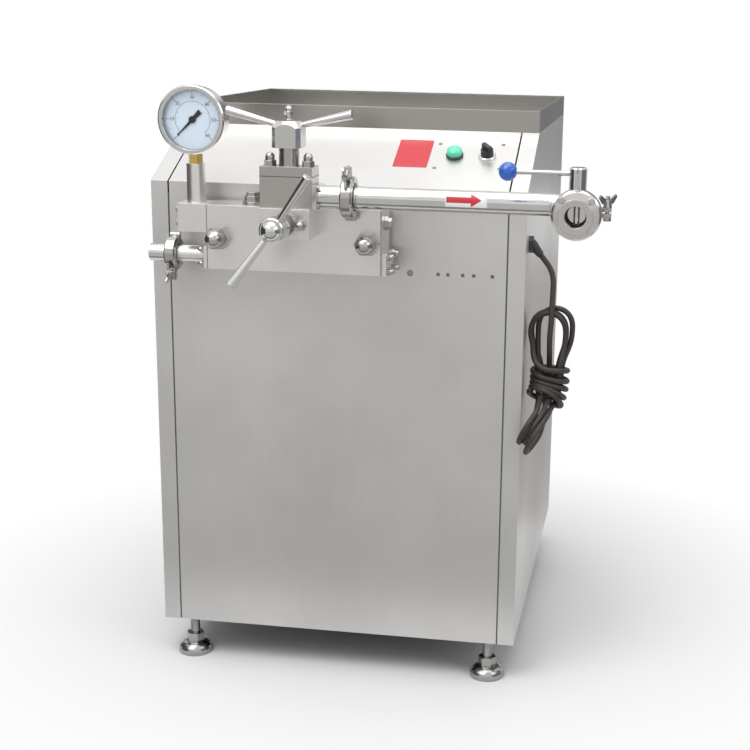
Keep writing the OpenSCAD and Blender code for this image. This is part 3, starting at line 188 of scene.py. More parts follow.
def threaded(radius, depth, pitch, length, centre, axis, sides=40, steps=8):
    """A screw thread: radius - depth times a triangle wave of (height / pitch - angle / turn)."""
    h = np.linspace(0, length, int(length / pitch * steps) + 1)[:, None]
    t = round_angles(sides)
    wave = np.abs(((h / pitch - t / TAU) % 1) * 2 - 1)
    ends = np.minimum(1, np.minimum(h, length - h) / (0.7 * pitch))
    return about(centre, axis, radius - depth * (1 - wave * ends), t, h)


def swept(path, radius, sides=12):
    """A round tube: at each point of a path, a ring in the plane across the path's direction.

    The rings' first direction is carried along the path without twisting, from any side of its first point.
    """
    any_side = [0.3, 0.2, 0.93]
    t = np.gradient(path, axis=0)
    t /= np.linalg.norm(t, axis=1, keepdims=True)
    u = np.empty_like(path)
    side = np.cross(t[0], any_side)
    for k, way in enumerate(t):
        side = side - way * (side @ way)
        side /= np.linalg.norm(side)
        u[k] = side
    v = np.cross(t, u)
    a = round_angles(sides)[None, :, None]
    return path[:, None] + radius * (np.cos(a) * u[:, None] + np.sin(a) * v[:, None])


def evenly(path, step):
    """The same path with points a fixed step apart along it."""
    s = np.r_[0, np.cumsum(np.linalg.norm(np.diff(path, axis=0), axis=1))]
    at = np.linspace(0, s[-1], int(s[-1] / step) + 1)
    return np.stack([np.interp(at, s, path[:, k]) for k in range(3)], 1)


def eased(path, reach):
    """A path smoothed by a moving average over a reach of points, with both ends kept in place."""
    k = np.hanning(2 * reach + 3)[1:-1]
    k /= k.sum()
    ends = np.concatenate([2 * path[0] - path[reach:0:-1], path, 2 * path[-1] - path[-2:-reach - 2:-1]])
    return np.stack([np.convolve(ends[:, c], k, "valid") for c in range(3)], 1)


def smooth_step(x, start, end):
    """0 before start, 1 after end, and 3t^2 - 2t^3 between."""
    t = np.clip((np.asarray(x, float) - start) / (end - start), 0, 1)
    return t * t * (3 - 2 * t)


# Node materials
class Finish:
    """A node material with a Principled shader, built up by naming what feeds each socket."""

    def __init__(self, name, colour, rough, metal=0.0, **sockets):
        self.material = bpy.data.materials.new(name)
        self.material.use_nodes = True
        self.tree = self.material.node_tree
        self.shader = self.tree.nodes["Principled BSDF"]
        self.set("Base Color", (*colour, 1))
        self.set("Roughness", rough)
        self.set("Metallic", metal)
        for key, value in sockets.items():
            self.set(key.replace("_", " "), value)
        self.material.diffuse_color = (*colour, 1)

    def set(self, socket, value):
        self.shader.inputs[socket].default_value = value

    def node(self, kind, **fields):
        """A new node with its own fields or its sockets' values set by name."""
        n = self.tree.nodes.new(kind)
        for key, value in fields.items():
            if hasattr(n, key):
                setattr(n, key, value)
            else:
                n.inputs[key.replace("_", " ")].default_value = value
        return n

    def link(self, a, b):
        self.tree.links.new(a, b)

    def feed(self, value, socket):
        """Links a value to one of the shader's sockets."""
        self.link(value, self.shader.inputs[socket])

    def show(self, result):
        """Makes a shader's result the whole look of the surface."""
        self.link(result, self.tree.nodes["Material Output"].inputs["Surface"])

    def place(self, scale=(1, 1, 1)):
        """Object coordinates, stretched by a Mapping node."""
        coord = self.node("ShaderNodeTexCoord")
        mapping = self.node("ShaderNodeMapping", Scale=scale)
        self.link(coord.outputs["Object"], mapping.inputs["Vector"])
        return mapping.outputs["Vector"]

    def noise(self, at, scale, detail=4.0, rough=0.55):
        n = self.node("ShaderNodeTexNoise", Scale=scale, Detail=detail, Roughness=rough)
        self.link(at, n.inputs["Vector"])
        return n.outputs["Fac"]

    def math(self, operation, a, b):
        n = self.node("ShaderNodeMath", operation=operation)
        self.link(a, n.inputs[0])
        self.link(b, n.inputs[1])
        return n.outputs[0]

    def spread(self, value, low_in, high_in, low_out=0, high_out=1):
        """A value stretched from one range to another, held at the ends."""
        n = self.node("ShaderNodeMapRange", From_Min=low_in, From_Max=high_in,
                      To_Min=low_out, To_Max=high_out)
        self.link(value, n.inputs["Value"])
        return n.outputs["Result"]

    def swing(self, noise, low_out=0, high_out=1):
        """A noise, which mostly lies between 0.3 and 0.7, stretched to a range."""
        return self.spread(noise, 0.3, 0.7, low_out, high_out)

    def tint(self, value, first, last):
        """A ramp between two colours over a value, into the base colour."""
        ramp = self.node("ShaderNodeValToRGB")
        for element, colour in zip(ramp.color_ramp.elements, (first, last)):
            element.color = (*colour, 1)
        self.link(value, ramp.inputs["Fac"])
        self.feed(ramp.outputs["Color"], "Base Color")

    def relief(self, height, strength, distance, edge):
        """Bump from a height; edge rounds hard corners by that radius in the shading."""
        bump = self.node("ShaderNodeBump", Strength=strength, Distance=distance)
        self.link(height, bump.inputs["Height"])
        bevel = self.node("ShaderNodeBevel", samples=4, Radius=edge)
        self.link(bevel.outputs["Normal"], bump.inputs["Normal"])
        self.feed(bump.outputs["Normal"], "Normal")


def shaded(colour, share):
    """A colour made darker or paler by a share, up to white."""
    return [min(1, c * share) for c in colour]


def brushed(name, colour, rough, grain, edge=0.0008, streak=0.06, cloud=0.05, relief=0.05, metal=1.0):
    """Brushed steel: fine streaks stretched along one axis, and slow cloudy changes of tone and gloss."""
    most = 0.12
    f = Finish(name, colour, rough, metal)
    fine = f.noise(f.place(grain), 1.0, 3.0, 0.6)
    slow = f.noise(f.place(), 3.2, 3.0, 0.5)
    mixed = f.math("ADD", f.swing(fine, -streak, streak), f.swing(slow, -cloud, cloud))
    f.tint(f.spread(mixed, -most, most), shaded(colour, 0.86), shaded(colour, 1.12))
    f.feed(f.spread(mixed, -most, most, rough + 0.06, rough - 0.05), "Roughness")
    f.relief(fine, relief, 0.0002, edge)
    return f.material


def polished(name, colour, rough, edge=0.0006, wear=0.05):
    """Polished steel: a mirror with faint swirls, small scratches and slightly duller patches."""
    f = Finish(name, colour, rough, 1.0)
    swirl = f.noise(f.place((60, 60, 60)), 1.0, 5.0, 0.65)
    slow = f.noise(f.place(), 14.0, 2.0)
    dull = f.math("MULTIPLY", swirl, slow)
    f.feed(f.spread(dull, 0.12, 0.42, rough, rough + wear), "Roughness")
    f.tint(f.swing(slow), shaded(colour, 0.93), colour)
    f.relief(swirl, 0.02, 0.0002, edge)
    return f.material


def painted(name, colour, rough, cast=0.15):
    """Paint over cast or welded steel: orange-peel relief with a little grime."""
    f = Finish(name, colour, rough)
    peel = f.noise(f.place(), 420.0, 2.0)
    grime = f.noise(f.place(), 9.0, 5.0)
    f.tint(f.spread(grime, 0.35, 0.7), shaded(colour, 0.72), colour)
    f.feed(f.swing(grime, rough + 0.15, rough - 0.05), "Roughness")
    f.relief(peel, cast, 0.0004, 0.001)
    return f.material


def moulded(name, colour, rough, grain=900.0, relief=0.06, **sockets):
    """Moulded plastic or rubber: fine grain, faint dust in its tone."""
    f = Finish(name, colour, rough, **sockets)
    fine = f.noise(f.place(), grain, 2.0)
    dust = f.noise(f.place(), 35.0, 4.0)
    f.tint(f.spread(dust, 0.3, 0.75), colour, [min(1, c * 1.15 + 0.012) for c in colour])
    f.feed(f.swing(dust, rough - 0.05, rough + 0.08), "Roughness")
    f.relief(fine, relief, 0.0003, 0.0005)
    return f.material


def plain_print(name, colour, rough):
    """Printed ink or film with a little unevenness."""
    f = Finish(name, colour, rough)
    uneven = f.noise(f.place(), 260.0, 3.0)
    f.tint(f.swing(uneven), shaded(colour, 0.93), colour)
    return f.material


def two_bezels(name):
    """Dark plastic round the lamp on the left, polished metal round the selector on the right."""
    plastic, metal = (0.03, 0.045, 0.04), (0.72, 0.72, 0.715)
    border, blur = float(middle("console_bezels")[0]), 0.0005
    f = Finish(name, metal, 0.1)
    split = f.node("ShaderNodeSeparateXYZ")
    f.link(f.place(), split.inputs[0])
    right = f.spread(split.outputs["X"], border - blur, border + blur)
    f.tint(right, plastic, metal)
    f.feed(right, "Metallic")
    fine = f.noise(f.place(), 500.0, 3.0)
    f.feed(f.swing(fine, 0.12, 0.22), "Roughness")
    f.relief(fine, 0.02, 0.0002, 0.0005)
    return f.material


def clear(name):
    """Thin clear glass with faint wiping smears in its gloss."""
    f = Finish(name, (1, 1, 1), 0.02, Transmission_Weight=1.0, IOR=1.05)
    smear = f.noise(f.place((40, 40, 160)), 1.0, 3.0)
    f.feed(f.spread(smear, 0.35, 0.7, 0.01, 0.05), "Roughness")
    return f.material


# Sheet, blocks and shafts
SATIN = brushed("satin_sheet", (0.62, 0.613, 0.602), 0.36, (900, 900, 12), streak=0.02, cloud=0.1,
                relief=0.015, metal=0.8)
TRAY = brushed("tray_sheet", (0.43, 0.415, 0.395), 0.22, (7, 520, 520), streak=0.03, cloud=0.04, relief=0.02)
MACHINED = brushed("machined_block", (0.74, 0.733, 0.715), 0.25, (40, 900, 900), streak=0.025,
                   relief=0.015, metal=0.85)
VALVE_BLOCK = brushed("valve_block", (0.47, 0.458, 0.437), 0.23, (900, 40, 900), streak=0.025, relief=0.015)
GAUGE_STEEL = brushed("gauge_block_steel", (0.76, 0.752, 0.738), 0.36, (900, 900, 40), streak=0.025,
                      relief=0.015)
GROUND = brushed("ground_shaft", (0.50, 0.50, 0.50), 0.22, (6, 300, 300))
ZINC = brushed("zinc_thread", (0.36, 0.35, 0.335), 0.3, (300, 300, 300))
SCREW = brushed("dark_screw", (0.20, 0.20, 0.20), 0.35, (400, 400, 400))
BRONZE = brushed("gland_bronze", (0.52, 0.35, 0.16), 0.3, (300, 300, 40))
BRASS = brushed("coupling_brass", (0.66, 0.47, 0.17), 0.26, (500, 500, 60), cloud=0.08)

# Fittings
VALVE_STEEL = polished("outlet_valve_steel", (0.60, 0.592, 0.58), 0.2, edge=0.0016, wear=0.08)
CHROME = polished("polished_fittings", (0.64, 0.637, 0.63), 0.08)
HANDLE = polished("handle_steel", (0.66, 0.655, 0.645), 0.15, edge=0.0008, wear=0.08)
CLAMP = polished("cast_clamp_steel", (0.46, 0.452, 0.44), 0.15, edge=0.001, wear=0.1)
FOOT = polished("foot_steel", (0.42, 0.413, 0.403), 0.2, edge=0.001, wear=0.1)
NUTS = polished("dome_nut_steel", (0.47, 0.456, 0.438), 0.19, edge=0.0008)
PIPE = polished("polished_pipe", (0.65, 0.646, 0.636), 0.11, wear=0.08)

# Paint, rubber, plastic, print and glass
IRON = painted("pulley_iron", (0.16, 0.16, 0.165), 0.5)
FRAME_PAINT = painted("frame_paint", (0.20, 0.21, 0.22), 0.45)
DRIVE_PAINT = painted("drive_paint", (0.07, 0.15, 0.24), 0.4)
POINTER = painted("pointer_paint", (0.012, 0.012, 0.012), 0.4, 0.05)
SHADE = painted("hole_plug", (0.27, 0.26, 0.245), 0.6)
BELT = moulded("belt_rubber", (0.02, 0.02, 0.021), 0.7)
SEAL = moulded("seal_rubber", (0.78, 0.78, 0.74), 0.5)
SEAT = moulded("seat_rubber", (0.018, 0.018, 0.018), 0.5)
CORD = moulded("cord_rubber", (0.028, 0.022, 0.02), 0.48, 700.0, 0.12)
GLAND = moulded("gland_plastic", (0.02, 0.02, 0.02), 0.5)
SWITCH = moulded("switch_plastic", (0.012, 0.012, 0.013), 0.38)
BALL = moulded("ball_plastic", (0.014, 0.10, 0.48), 0.16, relief=0.01, Coat_Weight=0.4, Coat_Roughness=0.08)
# The lens glows faintly all over. Part of that glow is the pilot lamp's own light, and part is a painted
# highlight that brightens it.
LENS = moulded("lamp_lens", (0.10, 0.60, 0.40), 0.16, relief=0.02, Subsurface_Weight=0.3,
               Emission_Color=(0.1, 0.8, 0.45, 1), Emission_Strength=0.1)
DIAL = plain_print("dial_face", (0.62, 0.72, 0.82), 0.5)
INK = plain_print("dial_ink", (0.012, 0.013, 0.016), 0.5)
RED_FILM = plain_print("red_film", (0.58, 0.03, 0.045), 0.3)
WHITE_FILM = plain_print("white_film", (0.86, 0.86, 0.84), 0.35)
BEZEL = two_bezels("console_bezel")
GLASS = clear("gauge_glass")

NODE_FINISH = {
    SATIN: "front_panel left_side_panel right_side_panel rear_panel",
    TRAY: "top_tray",
    MACHINED: "pump_head cylinder_block suction_flanges second_stage_body",
    VALVE_BLOCK: "first_stage_body valve_caps",
    GAUGE_STEEL: "gauge_block",
    VALVE_STEEL: "outlet_valve_body",
    NUTS: "dome_nuts small_nuts",
    FOOT: "front_left_foot front_right_foot rear_left_foot rear_right_foot",
    HANDLE: "first_stage_handle second_stage_handle gauge_case",
    CLAMP: "pipe_clamps inlet_wing_nut discharge_wing_nut outlet_wing_nut",
    CHROME: "first_stage_rod second_stage_rod outlet_valve_disc outlet_valve_lever "
            "plunger_1 plunger_2 plunger_3",
    PIPE: "inlet_pipe discharge_stub outlet_pipe",
    GROUND: "motor_shaft crankshaft",
    IRON: "motor_pulley drive_pulley",
    FRAME_PAINT: "frame_rails frame_posts",
    DRIVE_PAINT: "motor_body crankshaft_bearings crankcase",
    BELT: "drive_belts", BRONZE: "packing_glands", BRASS: "gauge_coupling", SEAL: "pipe_seals",
    DIAL: "gauge_dial", GLASS: "gauge_glass", POINTER: "gauge_pointer", BALL: "lever_ball",
    BEZEL: "console_bezels", LENS: "pilot_lamp", SWITCH: "selector_knob", GLAND: "cord_gland",
}


def finish_nodes():
    """Gives each CAD node listed in NODE_FINISH its material."""
    for material, names in NODE_FINISH.items():
        for name in names.split():
            mesh = nodes[name].data
            mesh.materials.clear()
            mesh.materials.append(material)


# Power cord in its tied hank: the lead's route and the hank's top are given from the foot of the gland
CORD_D = 0.009
GLAND_FOOT = (310, -307, 752)
LEAD = np.array([
    (19.1, 0, -16.9), (25.3, 0, -24.3), (31.5, 0, -31.7), (36, -0.4, -38.1), (39.3, -1.6, -45.2),
    (41.3, -3.6, -52.8), (42, -6.1, -60.6), (42, -9.2, -70), (42, -12.4, -79), (42, -15.5, -88),
    (42, -18.2, -97), (42, -21, -107), (42, -23.4, -118), (42, -24.6, -128),
]) / MM
HANK_TOP = np.array((42, -10, -99.2)) / MM
DOWN, ACROSS = np.array([0, 0, -1.0]), np.array([1.0, 0, 0])
TAIL_WAY = np.array((-0.42, -0.74, -0.525))
TAIL_ACROSS = np.array((0.194, -0.766, 0.613))
HANK_LENGTH, SPINE_STEP = 0.3, 0.001
BEND_FROM, BEND_TO = 0.112, 0.178
ROUTE_STEP, CORD_STEP = 0.003, 0.004


def hank_loops():
    """Three folds of the cord in the hank's own frame: across, down and thick, in millimetres.

    Long loops follow a stadium outline of a half width and a straight run, each a cord's width further to
    the front, with sines that set their folds a little apart. At the waist they draw together on a ring
    about the first strand, which runs down the middle.
    """
    half, run, folds, cord_pitch = 28.5, 180.0, 3.02, 9.3
    waist, draw, ring = 130.0, 57, 18.4
    bow = math.pi * half
    turns = np.linspace(0, folds, 800)
    s = (turns % 1) * 2 * (run + bow)
    stretch = [s < run, s < run + bow, s < 2 * run + bow]
    u = np.select(stretch, [-half + 0 * s, -half * np.cos((s - run) / half), half + 0 * s],
                  half * np.cos((s - 2 * run - bow) / half))
    v = np.select(stretch, [s, run + 1.12 * half * np.sin((s - run) / half), 2 * run + bow - s],
                  -half * np.sin((s - 2 * run - bow) / half))
    u = u * (1 + 0.12 * smooth_step(v, 90, run))
    u = u + 6 * np.cos(math.pi * turns) * (1 - smooth_step(v, 30, 85))
    v = v + 36 + 5 * np.sin(2.1 * turns + 0.6) * (1 - smooth_step(v, 20, 90))
    v = v + 9 * np.sin(2.4 * turns + 0.5) * smooth_step(v, 110, run + 35)
    w = -28 + cord_pitch * turns
    first = np.where(turns < 0.4, 1 - smooth_step(v, 148, 205), 0)
    front = np.where(turns < 0.4, 1 - smooth_step(v, 48, 112), 0)
    u = u * (1 - first) - 1.5 * first
    w = w * (1 - first) + 14.6 * front * first
    near = np.exp(-((v - waist) / draw) ** 4) * (1 - first) * np.where(turns > 2.9, 0, 1)
    angle = np.radians(-86 + 45 * turns)
    u = u * (1 - near) + np.where(u < 0, -1.0, 1.0) * ring * np.cos(angle) * near
    w = w * (1 - near) + ring * np.sin(angle) * near
    return np.stack([u, v, w], 1)


def hank_wrap(down, thick):
    """The last strand from where the loops end: down in an arc from the upper left, then a slanted helix."""
    radius, arc, wraps, pitch, slant = 29.6, 50.0, 5.3, 11.0, 5
    turn = radius * TAU
    x = np.linspace(1, turn * wraps, 460)
    a = math.pi - x / radius
    drop = np.where(x < arc, np.sqrt(np.maximum(arc ** 2 - (arc - x) ** 2, 0)), arc)
    lean = slant * smooth_step(x, arc, turn * 0.8) * np.cos(a)
    fall = down + drop + pitch * np.maximum(x - arc, 0) / turn + lean + 4 * smooth_step(x, arc, turn)
    return np.stack([radius * np.cos(a), fall, radius * np.sin(a) + thick * (1 - smooth_step(x, 0, 40))], 1)


def make_cord():
    """One cord from its gland down into the hank and out to its cut end.

    The hank hangs from its top fold; below the waist its spine bends forwards and its loops turn edge-on.
    """
    base = cabinet(*GLAND_FOOT)
    lead = base + LEAD
    loops = hank_loops()
    u, v, w = np.concatenate([loops, hank_wrap(loops[-1, 1], loops[-1, 2])]).T / MM
    v_line = np.linspace(0, HANK_LENGTH, round(HANK_LENGTH / SPINE_STEP) + 1)
    bend = smooth_step(v_line, BEND_FROM, BEND_TO)[:, None]
    way = (1 - bend) * DOWN + bend * TAIL_WAY
    way /= np.linalg.norm(way, axis=1, keepdims=True)
    spine = base + HANK_TOP + np.cumsum(way, axis=0) * SPINE_STEP
    across = (1 - bend) * ACROSS + bend * TAIL_ACROSS
    across -= way * (across * way).sum(1, keepdims=True)
    across /= np.linalg.norm(across, axis=1, keepdims=True)
    thick = np.cross(way, across)

    def along(rows):
        return np.stack([np.interp(v, v_line, rows[:, k]) for k in range(3)], 1)

    hank = along(spine) + u[:, None] * along(across) + w[:, None] * along(thick)
    whole = evenly(np.concatenate([lead, hank]), ROUTE_STEP)
    path = evenly(eased(eased(whole, 4), 3), CORD_STEP)
    cord = surface("power_cord_run", swept(path, CORD_D / 2), CORD, ring=True, caps=True)
    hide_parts("power_cord", "cord_hank")


# Threads of the levelling feet
STEM_RADIUS, STEM_BOTTOM = 0.00855, 0.0365
THREAD_DEPTH, THREAD_PITCH, THREAD_LENGTH = 0.0009, 0.0025, 0.0305


def make_stem_threads():
    """Screw threads on the four levelling stems, between the lock nut and the frame."""
    for name in ("front_left", "front_right", "rear_left", "rear_right"):
        x, y, _ = middle(name + "_foot")
        bottom = (x, y, STEM_BOTTOM)
        grid = threaded(STEM_RADIUS, THREAD_DEPTH, THREAD_PITCH, THREAD_LENGTH, bottom, (0, 0, 1))
        surface(name + "_stem_thread", grid, ZINC, body=name + "_levelling_foot", ring=True, caps=True)


# Dial of the gauge: angles in degrees, the scales' bars by rank as tens, fives and ones
SCALE_START, SCALE_SWEEP = 225, 270
SCALES = (
    ("dial_scale", 61, 0.0445, (6.0, 4.6, 3.0), (0.8, 0.5, 0.34)),
    ("dial_inner_scale", 41, 0.0285, (2.6, 2.0, 1.4), (0.5, 0.36, 0.26)),
)
PRINT_LIFT, ARC_WIDTH = 0.00012, 0.0004
NUMBER_SIZE, NUMBER_RING, LAST_NUMBER = 0.0078, 0.0341, 6


def dial_rays(degrees):
    """Unit vectors in the dial's plane at angles from its right."""
    a = np.radians(degrees)
    return np.stack([np.cos(a), 0 * a, np.sin(a)], -1)


def make_scale(base, name, count, outer, lengths, widths):
    """A fan of short bars, each from outer - length to outer along its ray, with a thin arc outside them."""
    k = np.arange(count)
    rank = np.where(k % 10 == 0, 0, np.where(k % 5 == 0, 1, 2))
    ray = dial_rays(SCALE_START - SCALE_SWEEP * k / (count - 1))
    side = ray[:, ::-1] * [1, 0, -1] * np.array(widths)[rank, None] / 2 / MM
    inner_edge, outer_edge = base + ray * (outer - np.array(lengths)[rank, None] / MM), base + ray * outer
    points = np.stack([inner_edge - side, inner_edge + side, outer_edge + side, outer_edge - side], 1)
    film(new_piece(name, new_mesh(name, points, np.arange(4 * count).reshape(-1, 4).tolist(), INK)))
    arc = dial_rays(np.linspace(SCALE_START, SCALE_START - SCALE_SWEEP, 97))
    rings = np.array([outer, outer + ARC_WIDTH])[:, None, None]
    film(surface(name + "_arc", base + rings * arc, INK))


def make_number(base, number):
    """A plain number of the scale, upright on its ray."""
    words = bpy.data.curves.new("dial_number", "FONT")
    words.body = str(10 * number)
    words.size, words.align_x, words.align_y = NUMBER_SIZE, "CENTER", "CENTER"
    words.resolution_u = 3
    loose = new_object("dial_number_shape", words)
    bpy.context.view_layer.update()
    mesh = bpy.data.meshes.new_from_object(loose)
    bpy.data.objects.remove(loose)
    flat = np.empty(len(mesh.vertices) * 3)
    mesh.vertices.foreach_get("co", flat)
    flat = flat.reshape(-1, 3)
    spot = base + NUMBER_RING * dial_rays(SCALE_START - SCALE_SWEEP * number / LAST_NUMBER)
    mesh.vertices.foreach_set("co", (spot + flat[:, :1] * [1, 0, 0] + flat[:, 1:2] * [0, 0, 1]).ravel())
    mesh.materials.clear()
    mesh.materials.append(INK)
    mesh.update()
    film(new_piece("dial_number_%d" % number, mesh))


def make_dial():
    """Two printed scales along an arc of 270 degrees, with plain numbers between them."""
    base = middle("gauge_case")
    base[1] = low("gauge_dial")[1] - PRINT_LIFT
    for scale in SCALES:
        make_scale(base, *scale)
    for number in range(LAST_NUMBER + 1):
        make_number(base, number)


# Films on the discharge pipe: places along it in millimetres, half widths and tilt in degrees about its axis
STRIP_RADIUS, ARROW_RADIUS, FILM_TILT = 0.01712, 0.01724, 14.0
STRIP_ENDS, STRIP_HALF = (197, 261), 37.0
SHAFT_ENDS, SHAFT_HALF = (199, 236), 15.0
HEAD_ENDS, HEAD_HALVES = (236.05, 252), (34, 0.4)


def pipe_patch(name, x, half, radius, material):
    """A film wrapped on the pipe: at each x an arc of the given half width about the pipe's axis."""
    x, half = x[:, None], half[:, None]
    a = np.radians(FILM_TILT + half * np.linspace(1, -1, 25))
    axis = cabinet(0, PIPE_Y, PIPE_Z)
    y, z = axis[1] - radius * np.cos(a), axis[2] + radius * np.sin(a)
    film(surface(name, np.stack([axis[0] + x / MM + 0 * a, y, z], -1), material))


def make_flow_arrow():
    """A white strip round the front of the pipe with a red arrow in the direction of flow."""
    pipe_patch("flow_strip", np.linspace(*STRIP_ENDS, 17), np.full(17, STRIP_HALF), STRIP_RADIUS, WHITE_FILM)
    x = np.r_[np.linspace(*SHAFT_ENDS, 9), np.linspace(*HEAD_ENDS, 9)]
    half = np.r_[np.full(9, SHAFT_HALF), np.linspace(*HEAD_HALVES, 9)]
    pipe_patch("flow_arrow", x, half, ARROW_RADIUS, RED_FILM)


# Console plate and screws: places in millimetres, across and up the console's slope or the rear panel
SLOPE = math.radians(25.49)
UP_SLOPE = np.array([0, math.cos(SLOPE), math.sin(SLOPE)])
OFF_SLOPE = np.array([0, -math.sin(SLOPE), math.cos(SLOPE)])
PLATE_PLACE, PLATE_HALF, PLATE_CORNER = (108.5, 111.5), np.array([28.5, 43.5]), 2.5
CONSOLE_SCREW_RADIUS, REAR_SCREW_RADIUS = 0.0033, 0.0048
CONSOLE_SCREWS = ((149, 145), (150, 68), (254, 148), (256, 71))
REAR_SCREWS = [(x, z) for x in (-290, 0, 290) for z in (100, 890)] + [(x, 500) for x in (-290, 290)]


def on_console(x, up):
    """A point of the sloped console in millimetres: across and up the slope."""
    return cabinet(x, SHEET_FRONT, CONSOLE_FOOT) + up * UP_SLOPE / MM


def rounded(half, r):
    """Outline of a rectangle with round corners: each quarter of a circle moved out to its corner."""
    t = round_angles(96)
    ring = np.stack([np.cos(t), np.sin(t)], -1)
    return np.sign(ring) * (half - r) + r * ring


def make_console_plate():
    """A bare red plate on the console: a rounded rectangle, raised by its own thickness with a soft edge."""
    inset, rise = np.array([0, 0, 0.15, 0.5, 26.0]), np.array([-0.05, 0.32, 0.45, 0.5, 0.5])
    rows = np.stack([rounded(PLATE_HALF - i, max(PLATE_CORNER - i, 0.4)) for i in inset])
    lift = rise[:, None, None] * OFF_SLOPE
    grid = on_console(*PLATE_PLACE) + (rows[..., :1] * ACROSS + rows[..., 1:] * UP_SLOPE + lift) / MM
    surface("console_plate", grid, RED_FILM, ring=True, caps=True)


def button_profile(radius, height, foot, tip, power=1.0):
    """A domed head as (radius, height) pairs: r cos^power q and h sin q for q from 0 to a right angle.

    It starts a foot below the sheet and ends in a small flat of the tip's radius.
    """
    q = np.linspace(0, math.pi / 2, 9)[:-1]
    dome = np.stack([radius * np.cos(q) ** power, height * np.sin(q)], 1)
    return np.r_[[[radius, -foot]], dome, [[tip, height]]]


def make_screws():
    """Small domed screws, turned about the normal of the sheet that they hold."""
    dome = button_profile(1, 0.48, 0.03, 0.006)
    for k, (x, up) in enumerate(CONSOLE_SCREWS, 1):
        grid = turned(CONSOLE_SCREW_RADIUS * dome, on_console(x, up), OFF_SLOPE, 32)
        surface("console_screw_%d" % k, grid, SCREW, ring=True, caps=True)
    for k, (x, z) in enumerate(REAR_SCREWS, 1):
        grid = turned(REAR_SCREW_RADIUS * dome, cabinet(x, SHEET_REAR, z), (0, 1, 0), 32)
        surface("rear_screw_%d" % k, grid, NUTS, ring=True, caps=True)


# Plugs in the front sheet: their places in millimetres, and a cup as (share of the hole's radius, depth)
HOLE_ROW, HOLE_PLACES, BUTTON_PLACE = 705, (169, 185, 209, 227, 257), 123
HOLE_RADIUS = 0.0029
BUTTON_RADIUS, BUTTON_HEIGHT, BUTTON_FOOT, BUTTON_TIP = 0.0054, 0.0018, 0.0004, 0.00003
CUP = np.array([(0.01, 0.0024), (1.0, 0.0024), (1.0, -0.0002), (0.93, -0.0005), (0.82, -0.0002),
                (0.76, 0.0006), (0.7, 0.0014), (0.01, 0.0015)])


def make_panel_plugs():
    """Cups with a small lip set into the row of panel holes, and a flat-domed button in the larger one."""
    for k, x in enumerate(HOLE_PLACES, 1):
        grid = turned(CUP * [HOLE_RADIUS, -1], cabinet(x, SHEET_FRONT, HOLE_ROW), (0, -1, 0), 32)
        surface("panel_insert_%d" % k, grid, SHADE, ring=True, caps=True)
    button = button_profile(BUTTON_RADIUS, BUTTON_HEIGHT, BUTTON_FOOT, BUTTON_TIP, 0.7)
    grid = turned(button, cabinet(BUTTON_PLACE, SHEET_FRONT, HOLE_ROW), (0, -1, 0), 40)
    surface("panel_button", grid, SHADE, ring=True, caps=True)


# Welds on the discharge pipe: place in millimetres and axis of each
PIPE_RADIUS = 0.017
WELDS = (
    ((61, PIPE_Y, PIPE_Z), (1, 0, 0)),
    ((355, PIPE_Y, PIPE_Z), (1, 0, 0)),
    ((400, -510, PIPE_Z), (0, -1, 0)),
)
BEAD_RISE, BEAD_HALF, BEAD_SUNK = 0.00055, 0.0018, 0.0001
RIPPLES, RIPPLE_RISE, RIPPLE_SHIFT = 46, 0.18, 0.0003


def make_welds():
    """Beads at the pipe's ferrules and elbow.

    Each is a small arc turned about the pipe and rippled by a wave of the angle.
    """
    t = round_angles(160)
    q = np.linspace(0, math.pi, 9)[::-1, None]
    wave = np.sin(RIPPLES * t)
    r = PIPE_RADIUS + BEAD_RISE * np.sin(q) * (1 + RIPPLE_RISE * wave) - BEAD_SUNK
    h = BEAD_HALF * np.cos(q) + RIPPLE_SHIFT * wave * np.sin(q)
    for k, (place, axis) in enumerate(WELDS, 1):
        surface("pipe_weld_%d" % k, about(cabinet(*place), axis, r, t, h), PIPE, ring=True, closed=True)


# Gaskets
LIP_RADIUS, LIP_DEPTH, LIP_HALF = 0.0144, 0.0095, (0.0012, 0.0016)
GASKET_SUNK, GASKET_PROUD, GASKET_HALF = -0.0004, 0.00012, 0.0005


def make_gaskets():
    """Rubber lip in the outlet's bore and the gasket edge under the first-stage cap.

    The lip is an ellipse turned about the valve's axis, the edge a small rectangle carried round the block.
    """
    q = round_angles(16)
    lip = np.stack([LIP_RADIUS + LIP_HALF[0] * np.cos(q), LIP_DEPTH + LIP_HALF[1] * np.sin(q)], 1)
    x, y, _ = middle("outlet_valve_disc")
    surface("outlet_seat_lip", turned(lip, (x, y, OUTLET_Z), (0, -1, 0), 64), SEAT, ring=True, closed=True)
    a, b = low("first_stage_body"), high("first_stage_body")
    out = np.array([GASKET_SUNK, GASKET_PROUD, GASKET_PROUD, GASKET_SUNK])[:, None]
    rise = b[2] + GASKET_HALF * np.array([-1, -1, 1, 1])[:, None]
    x = np.array([a[0], b[0], b[0], a[0]]) + out * [-1, 1, 1, -1]
    y = np.array([a[1], a[1], b[1], b[1]]) + out * [-1, -1, 1, 1]
    surface("first_stage_gasket", np.stack([x, y, rise + 0 * x], -1), SEAT, ring=True, closed=True)


